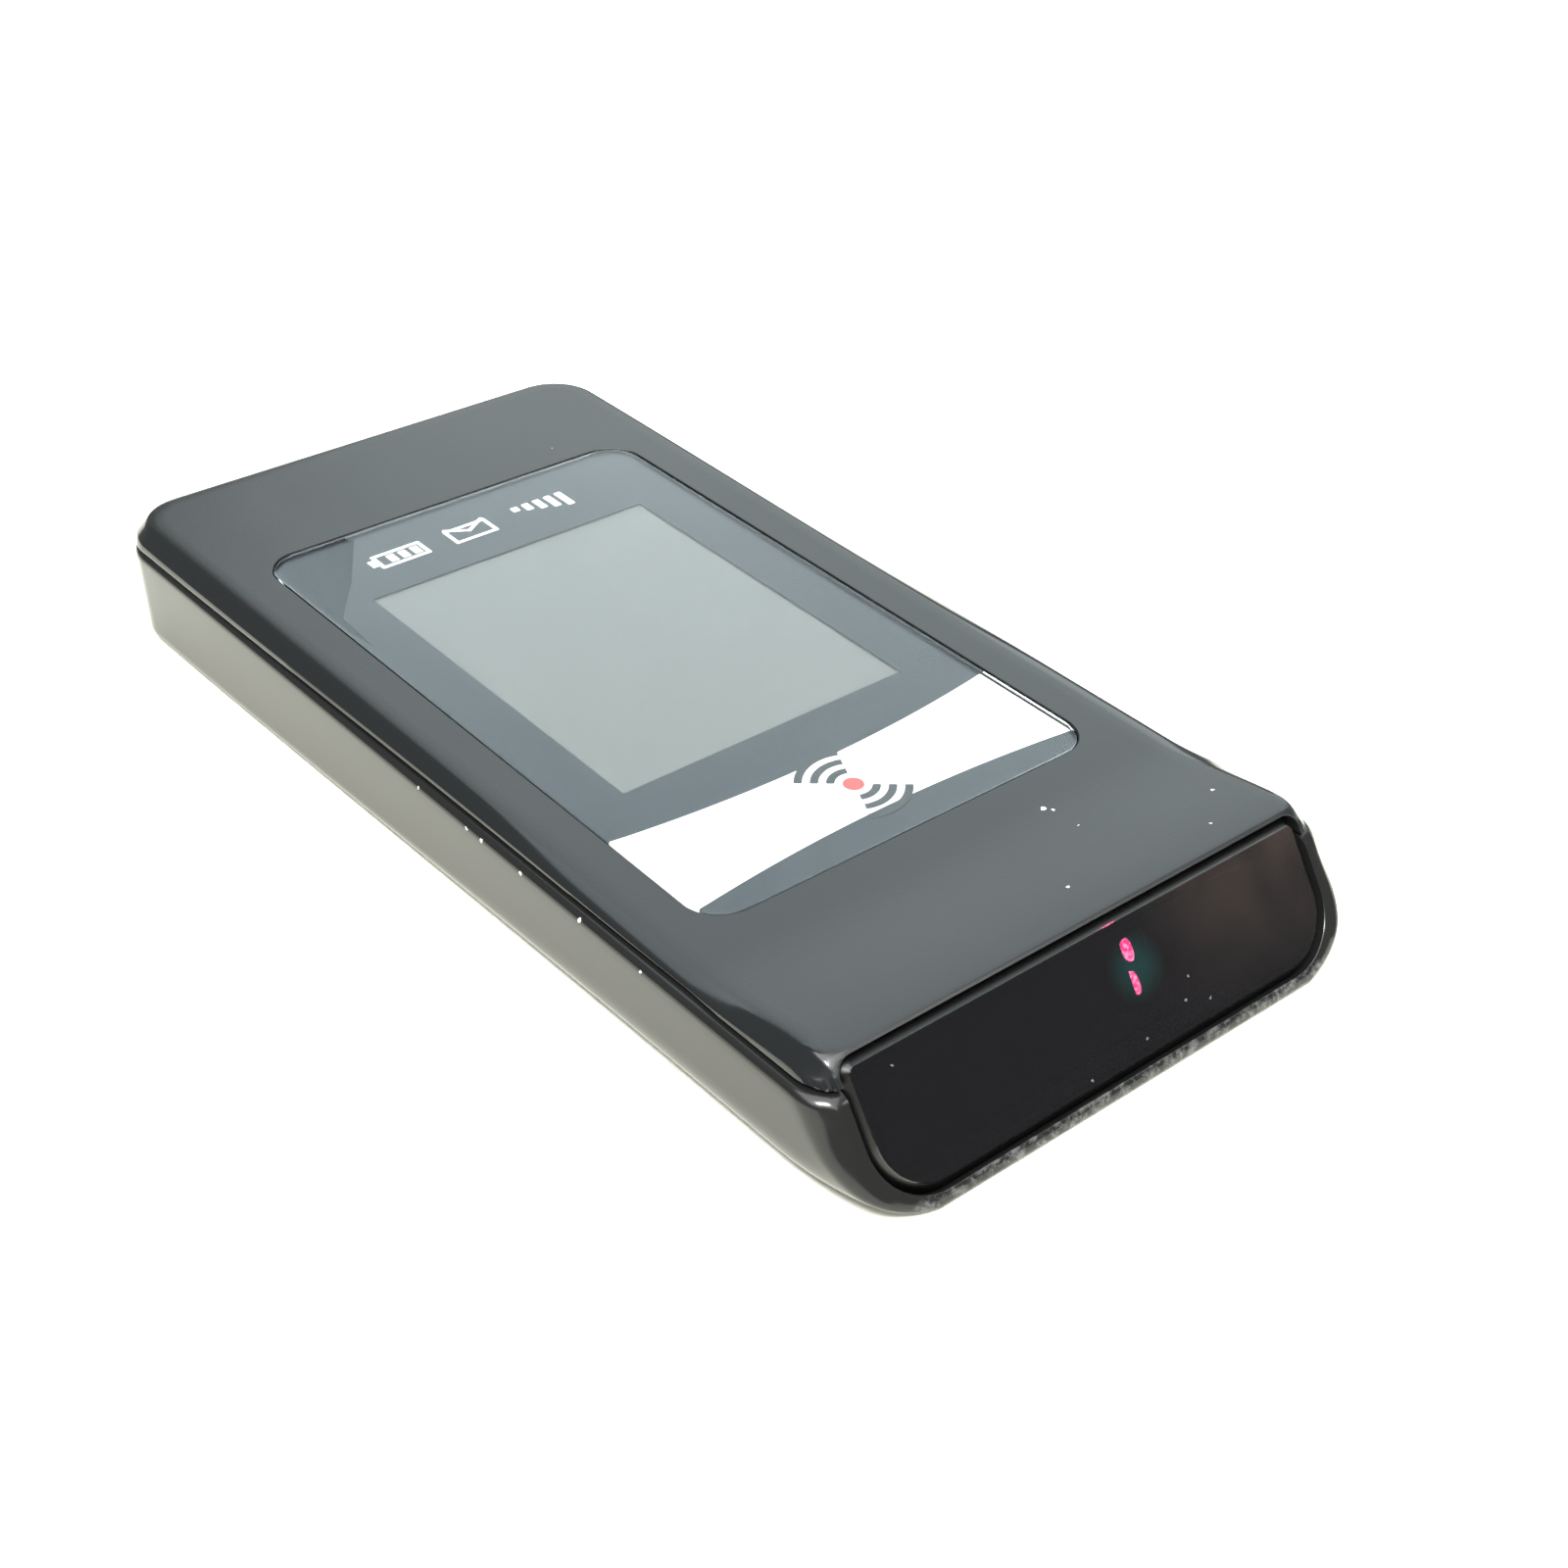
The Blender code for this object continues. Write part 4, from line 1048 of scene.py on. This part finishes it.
pane = slab("window_pane", (-WINDOW_HALF, WINDOW_HALF), (-WINDOW_DOWN[1], -WINDOW_DOWN[0]),
            (-WINDOW_THICK, 0.0), WINDOW_CORNERS, rim=0.8, segments=12, rim_steps=1)
finish_piece(pane, TINT_FINISH, "case", "window", "alert_window", smooth=25.0, place=ON_WINDOW)

# %% [markdown]
# A thin black mask sits behind the pane, so that the inside of the case stays hidden. It has
# one small opening, for the two lights.

# %% Mask behind the pane
MASK_FINISH, tree, shader, place = new_finish("mask_film", (0.008, 0.008, 0.009), 0.6)
smudge = effect(tree, SMUDGE, place, Scale=200.0, Contrast=1.2)
feed(tree, shader, Roughness=mix_value(tree, smudge, 0.5, 0.7))
mask = slab("window_mask", (-SIGHT_HALF + 0.2, SIGHT_HALF - 0.2),
            (-SIGHT_DOWN[1] + 0.2, -SIGHT_DOWN[0] - 0.2), (-1.64, -1.56), (0.5, 0.5))
carve(mask, slab("mask_opening", (3.7, 6.4), (-8.5, -3.1), (-2.0, -1.0), (0.5, 0.5)))
finish_piece(mask, MASK_FINISH, "case", "window", place=ON_WINDOW)

# %% [markdown]
# The two lights are slim ovals behind the pane. Each one takes its place from the working
# model's lamp, which it stands for, and is stretched from a round pin.

# %% The two lights
LIGHT_FINISH, tree, shader, place = new_finish("lit_lamp", (0.9, 0.1, 0.25), 0.3,
                                               Emission_Strength=70.0)
streak = add_node(tree, "ShaderNodeTexNoise", None, Vector=place, Scale=2600.0, Detail=2.0)
bright = ramp_between(tree, streak.outputs[0], 0.40, 0.70)
feed(tree, shader, Emission_Color=mix_colour(tree, bright, (1.0, 0.02, 0.18, 1.0),
                                             (1.4, 0.38, 0.60, 1.0)))
for label in ("upper", "lower"):
    low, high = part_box(f"alert_led_{label}")
    centre = ON_WINDOW.inverted() @ FACE_PLACE.inverted() @ ((low + high) / 2)
    lamp = pin(f"lamp_{label}", (0.0, 0.0), 1.0, (-0.35, 0.35), rim=0.2)
    oval = Matrix.Translation(centre) @ Matrix.Diagonal((0.36, 1.0, 1.0, 1.0))
    finish_piece(lamp, LIGHT_FINISH, "case", "light", f"alert_led_{label}",
                 place=ON_WINDOW @ oval)

# %% [markdown]
# ## Key, screws, pads and label
#
# These are the small parts that fingers and chargers touch. The key is a soft-edged bar with
# three raised ribs. The screws are one screw copied four times, each copy with its own mesh.

# %% The read key
KEY_FINISH, tree, shader, place = new_finish("key_plastic", (0.02, 0.02, 0.022), 0.4, IOR=1.5)
smudge = effect(tree, SMUDGE, place, Scale=150.0, Contrast=1.3)
feed(tree, shader, Roughness=mix_value(tree, smudge, 0.30, 0.48))
add_bump(tree, shader, effect(tree, GRAIN, place, Scale=7000.0), 0.010 * MM, 0.6)

key = slab("read_button", (-6.0, 6.0), (-1.6, 1.6), (25.3, 28.30), (0.8, 0.8), rim=0.35)
flange = slab("key_flange", (-7.0, 7.0), (-2.3, 2.3), (24.95, 25.8), (0.5, 0.5))
carve(key, flange, "UNION")
for offset in (-1.5, 0.0, 1.5):
    rib = slab("rib", (offset - 0.25, offset + 0.25), (-1.0, 1.0), (28.0, 28.43), (0.2, 0.2),
               rim=0.1, segments=3)
    carve(key, rib, "UNION")
nub = slab("key_nub", (-1.0, 1.0), (-0.8, 0.8), (24.62, 25.2))
carve(key, nub, "UNION")
finish_piece(key, KEY_FINISH, "read_key", "key", "side_key", place=ON_KEY)

# %% Steel and gold finishes
def metal_finish(name, colour, roughness, scale):
    """Metal with a fine grain and a little tarnish."""
    finish, tree, shader, place = new_finish(name, colour, roughness, metallic=1.0)
    smudge = effect(tree, SMUDGE, place, Scale=350.0, Contrast=1.3)
    dull = (*(0.6 * channel for channel in colour), 1.0)
    feed(tree, shader, Base_Color=mix_colour(tree, smudge, dull, (*colour, 1.0)),
         Roughness=mix_value(tree, smudge, roughness * 0.7, roughness * 1.5))
    add_bump(tree, shader, effect(tree, GRAIN, place, Scale=scale), 0.004 * MM, 0.5)
    return finish


STEEL_FINISH = metal_finish("plated_steel", (0.62, 0.62, 0.60), 0.28, 5000.0)
GOLD_FINISH = metal_finish("gold_plate", (0.92, 0.68, 0.30), 0.22, 3500.0)
BRASS_FINISH = metal_finish("sintered_weight", (0.66, 0.55, 0.38), 0.38, 2500.0)

# %% Four case screws
HEAD_LOW = 0.25
HEAD_HIGH = 1.35


def case_screw(number, at):
    """A pan screw seen from below, with a cross recess, and its shank."""
    seat = float(back_height(at[1]))
    head = pin(f"screw_{number}", at, 1.75, (seat + HEAD_LOW, seat + HEAD_HIGH), rim=0.22)
    tip = -3.5 if at[1] > 0 else -4.6
    shank = pin("shank", at, 0.85, (seat + HEAD_HIGH - 0.4, tip), rim=0.15, sides=24)
    carve(head, shank, "UNION")
    for wide, narrow in ((1.15, 0.22), (0.22, 1.15)):
        blade = slab("blade", (at[0] - wide, at[0] + wide), (at[1] - narrow, at[1] + narrow),
                     (seat - 0.5, seat + HEAD_LOW + 0.6), (0.08, 0.08), segments=2)
        carve(head, blade)
    return head


for number, at in enumerate(SCREWS_AT, start=1):
    finish_piece(case_screw(number, at), STEEL_FINISH, "case", "steel", f"case_screw_{number}")

# %% Two charging pads
for side_name, at in CONTACTS_AT.items():
    seat = float(back_height(at[1]))
    pad = pin(f"charging_pad_{side_name}", at, 2.0, (seat + 0.2, seat + 2.0), rim=0.2)
    pick_elements(pad, "FACE", lambda ends: len(ends) > 4 and ends[0].z < seat + 0.5)
    bpy.ops.mesh.inset(thickness=0.5 * MM, depth=0.0)
    bpy.ops.mesh.inset(thickness=0.3 * MM, depth=-0.12 * MM)
    leave_edit()
    stem = pin("stem", at, 0.8, (seat + 1.9, -6.3), sides=24)
    carve(pad, stem, "UNION")
    finish_piece(pad, GOLD_FINISH, "case", "gold", f"charge_contact_{side_name}")

# %% [markdown]
# The label is a silver film with a printed frame and two ruled write-on lines. The frame and
# the lines are masks made from the label's own coordinate.

# %% The back label
LABEL_FINISH, tree, shader, place = new_finish("silver_label", (0.55, 0.56, 0.56), 0.42,
                                               metallic=0.35)
axes = axes_of(tree, place)
from_x = math_node(tree, "ABSOLUTE", axes[0])
from_y = math_node(tree, "ABSOLUTE", math_node(tree, "SUBTRACT", axes[1], LABEL_Y * MM))


def band_mask(value, centre, width):
    """1 within half a width of a centre value."""
    off = math_node(tree, "ABSOLUTE", math_node(tree, "SUBTRACT", value, centre * MM))
    return math_node(tree, "LESS_THAN", off, width / 2 * MM)


def within(value, limit):
    return math_node(tree, "LESS_THAN", value, limit * MM)


frame_x = product(tree, band_mask(from_x, 16.5, 0.3), within(from_y, 21.65))
frame_y = product(tree, band_mask(from_y, 21.5, 0.3), within(from_x, 16.65))
lines = product(tree, band_mask(from_y, 6.0, 0.25), within(from_x, 13.0))
printed = math_node(tree, "MAXIMUM", math_node(tree, "MAXIMUM", frame_x, frame_y), lines)
smudge = effect(tree, SMUDGE, place, Scale=70.0, Contrast=1.4)
film = mix_colour(tree, smudge, (0.46, 0.47, 0.47, 1.0), (0.60, 0.61, 0.60, 1.0))
feed(tree, shader, Base_Color=mix_colour(tree, printed, film, (0.03, 0.03, 0.03, 1.0)),
     Roughness=mix_value(tree, smudge, 0.34, 0.5))
add_bump(tree, shader, effect(tree, GRAIN, place, Scale=3500.0), 0.004 * MM, 0.4)

label = slab("back_label", (-LABEL_HALF[0], LABEL_HALF[0]), (-LABEL_HALF[1], LABEL_HALF[1]),
             (0.2, 0.4), (1.5, 1.5), rim=0.05)
finish_piece(label, LABEL_FINISH, "case", "label", "rear_label", place=ON_BACK)

# %% [markdown]
# ## Finishes for the parts inside
#
# The working model's own parts stay for everything inside. The display is grey-green when it is
# off, with a faint dot grid. The board has traces under its mask, the cell has a foil pouch,
# and the rest are plain moulded, taped or plated parts, each with its own fine texture.

# %% The display
SCREEN_FINISH, tree, shader, place = new_finish("resting_display", (0.085, 0.092, 0.088), 0.35)
DOT_PITCH = 0.18
DOT_GAP = 0.14
grid = []
for axis in axes_of(tree, place)[:2]:
    share = math_node(tree, "FRACT", math_node(tree, "DIVIDE", axis, DOT_PITCH * MM))
    grid.append(math_node(tree, "GREATER_THAN", share, DOT_GAP))
smudge = effect(tree, SMUDGE, place, Scale=30.0, Contrast=0.8)
lit = mix_colour(tree, smudge, (0.114, 0.121, 0.116, 1.0), (0.120, 0.127, 0.121, 1.0))
dim = mix_colour(tree, smudge, (0.111, 0.118, 0.113, 1.0), (0.117, 0.124, 0.118, 1.0))
feed(tree, shader, Base_Color=mix_colour(tree, product(tree, *grid), dim, lit))

# %% Plain finishes for the rest
def plain_finish(name, colour, roughness, scale, depth, metallic=0.0):
    """A moulded, taped or foil finish: its colour drifts a little and its surface has grain."""
    finish, tree, shader, place = new_finish(name, colour, roughness, metallic)
    smudge = effect(tree, SMUDGE, place, Scale=180.0, Contrast=1.2)
    dark = (*(0.82 * channel for channel in colour), 1.0)
    light = (*(min(1.0, 1.12 * channel) for channel in colour), 1.0)
    feed(tree, shader, Base_Color=mix_colour(tree, smudge, dark, light),
         Roughness=mix_value(tree, smudge, roughness * 0.8, min(1.0, roughness * 1.25)))
    add_bump(tree, shader, effect(tree, GRAIN, place, Scale=scale), depth * MM, 0.6)
    return finish


def board_finish():
    """Green mask over copper: straight traces and plated holes."""
    finish, tree, shader, place = new_finish("solder_mask", (0.015, 0.13, 0.06), 0.35)
    black = (0.0, 0.0, 0.0, 1.0)
    bricks = add_node(tree, "ShaderNodeTexBrick", {"offset": 0.37}, Vector=place, Scale=140.0,
                      Mortar_Size=0.06, Color1=black, Color2=black, Mortar=(1.0, 1.0, 1.0, 1.0))
    holes = effect(tree, SPECKS, place, Scale=260.0, Size=0.14, Amount=0.16)
    mask = mix_colour(tree, bricks.outputs["Color"], (0.012, 0.11, 0.05, 1.0),
                      (0.03, 0.22, 0.10, 1.0))
    feed(tree, shader, Base_Color=mix_colour(tree, holes, mask, (0.75, 0.55, 0.25, 1.0)),
         Metallic=mix_value(tree, holes, 0.0, 1.0))
    add_bump(tree, shader, bricks.outputs["Fac"], 0.02 * MM, 0.6)
    return finish


INNER = {
    "lcd_panel": SCREEN_FINISH,
    "lens_adhesive": plain_finish("foam_tape", (0.025, 0.025, 0.025), 0.85, 2500.0, 0.03),
    "display_tray": plain_finish("tray_plastic", (0.78, 0.78, 0.75), 0.5, 4000.0, 0.01),
    "backlight": plain_finish("light_guide", (0.82, 0.85, 0.88), 0.25, 6000.0, 0.008),
    "display_flex": plain_finish("amber_flex", (0.50, 0.24, 0.06), 0.35, 5000.0, 0.006),
    "display_socket": plain_finish("ivory_socket", (0.72, 0.69, 0.60), 0.5, 4000.0, 0.008),
    "main_board": board_finish(),
    "radio_shield": STEEL_FINISH,
    "decoder_chip": plain_finish("chip_epoxy", (0.022, 0.022, 0.024), 0.5, 6000.0, 0.012),
    "battery_cell": plain_finish("foil_pouch", (0.42, 0.44, 0.48), 0.35, 900.0, 0.06, 0.7),
    "motor_boot": plain_finish("soft_rubber", (0.04, 0.04, 0.042), 0.8, 3000.0, 0.02),
    "motor_weight": BRASS_FINISH,
    "switch_plunger": KEY_FINISH,
}
SAME_AS = {
    "window_adhesive": "lens_adhesive", "light_flex": "display_flex",
    "flex_socket": "display_socket", "battery_socket": "display_socket",
    "light_board": "main_board", "sounder": "decoder_chip", "loop_antenna": "radio_shield",
    "motor_can": "radio_shield", "motor_shaft": "radio_shield", "key_switch": "radio_shield",
}
INNER.update({node: INNER[like] for node, like in SAME_AS.items()})
for node, finish in INNER.items():
    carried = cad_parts[node]
    carried.data.materials.clear()
    carried.data.materials.append(finish)
print(len(INNER), "inner parts have a finish")

# %% [markdown]
# ## A last look
#
# Last, every shown part of the working model must have a finish; any part without one is
# printed.

# %% Check and finish
for node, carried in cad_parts.items():
    if not carried.hide_render and node not in INNER:
        print("no finish for", node)
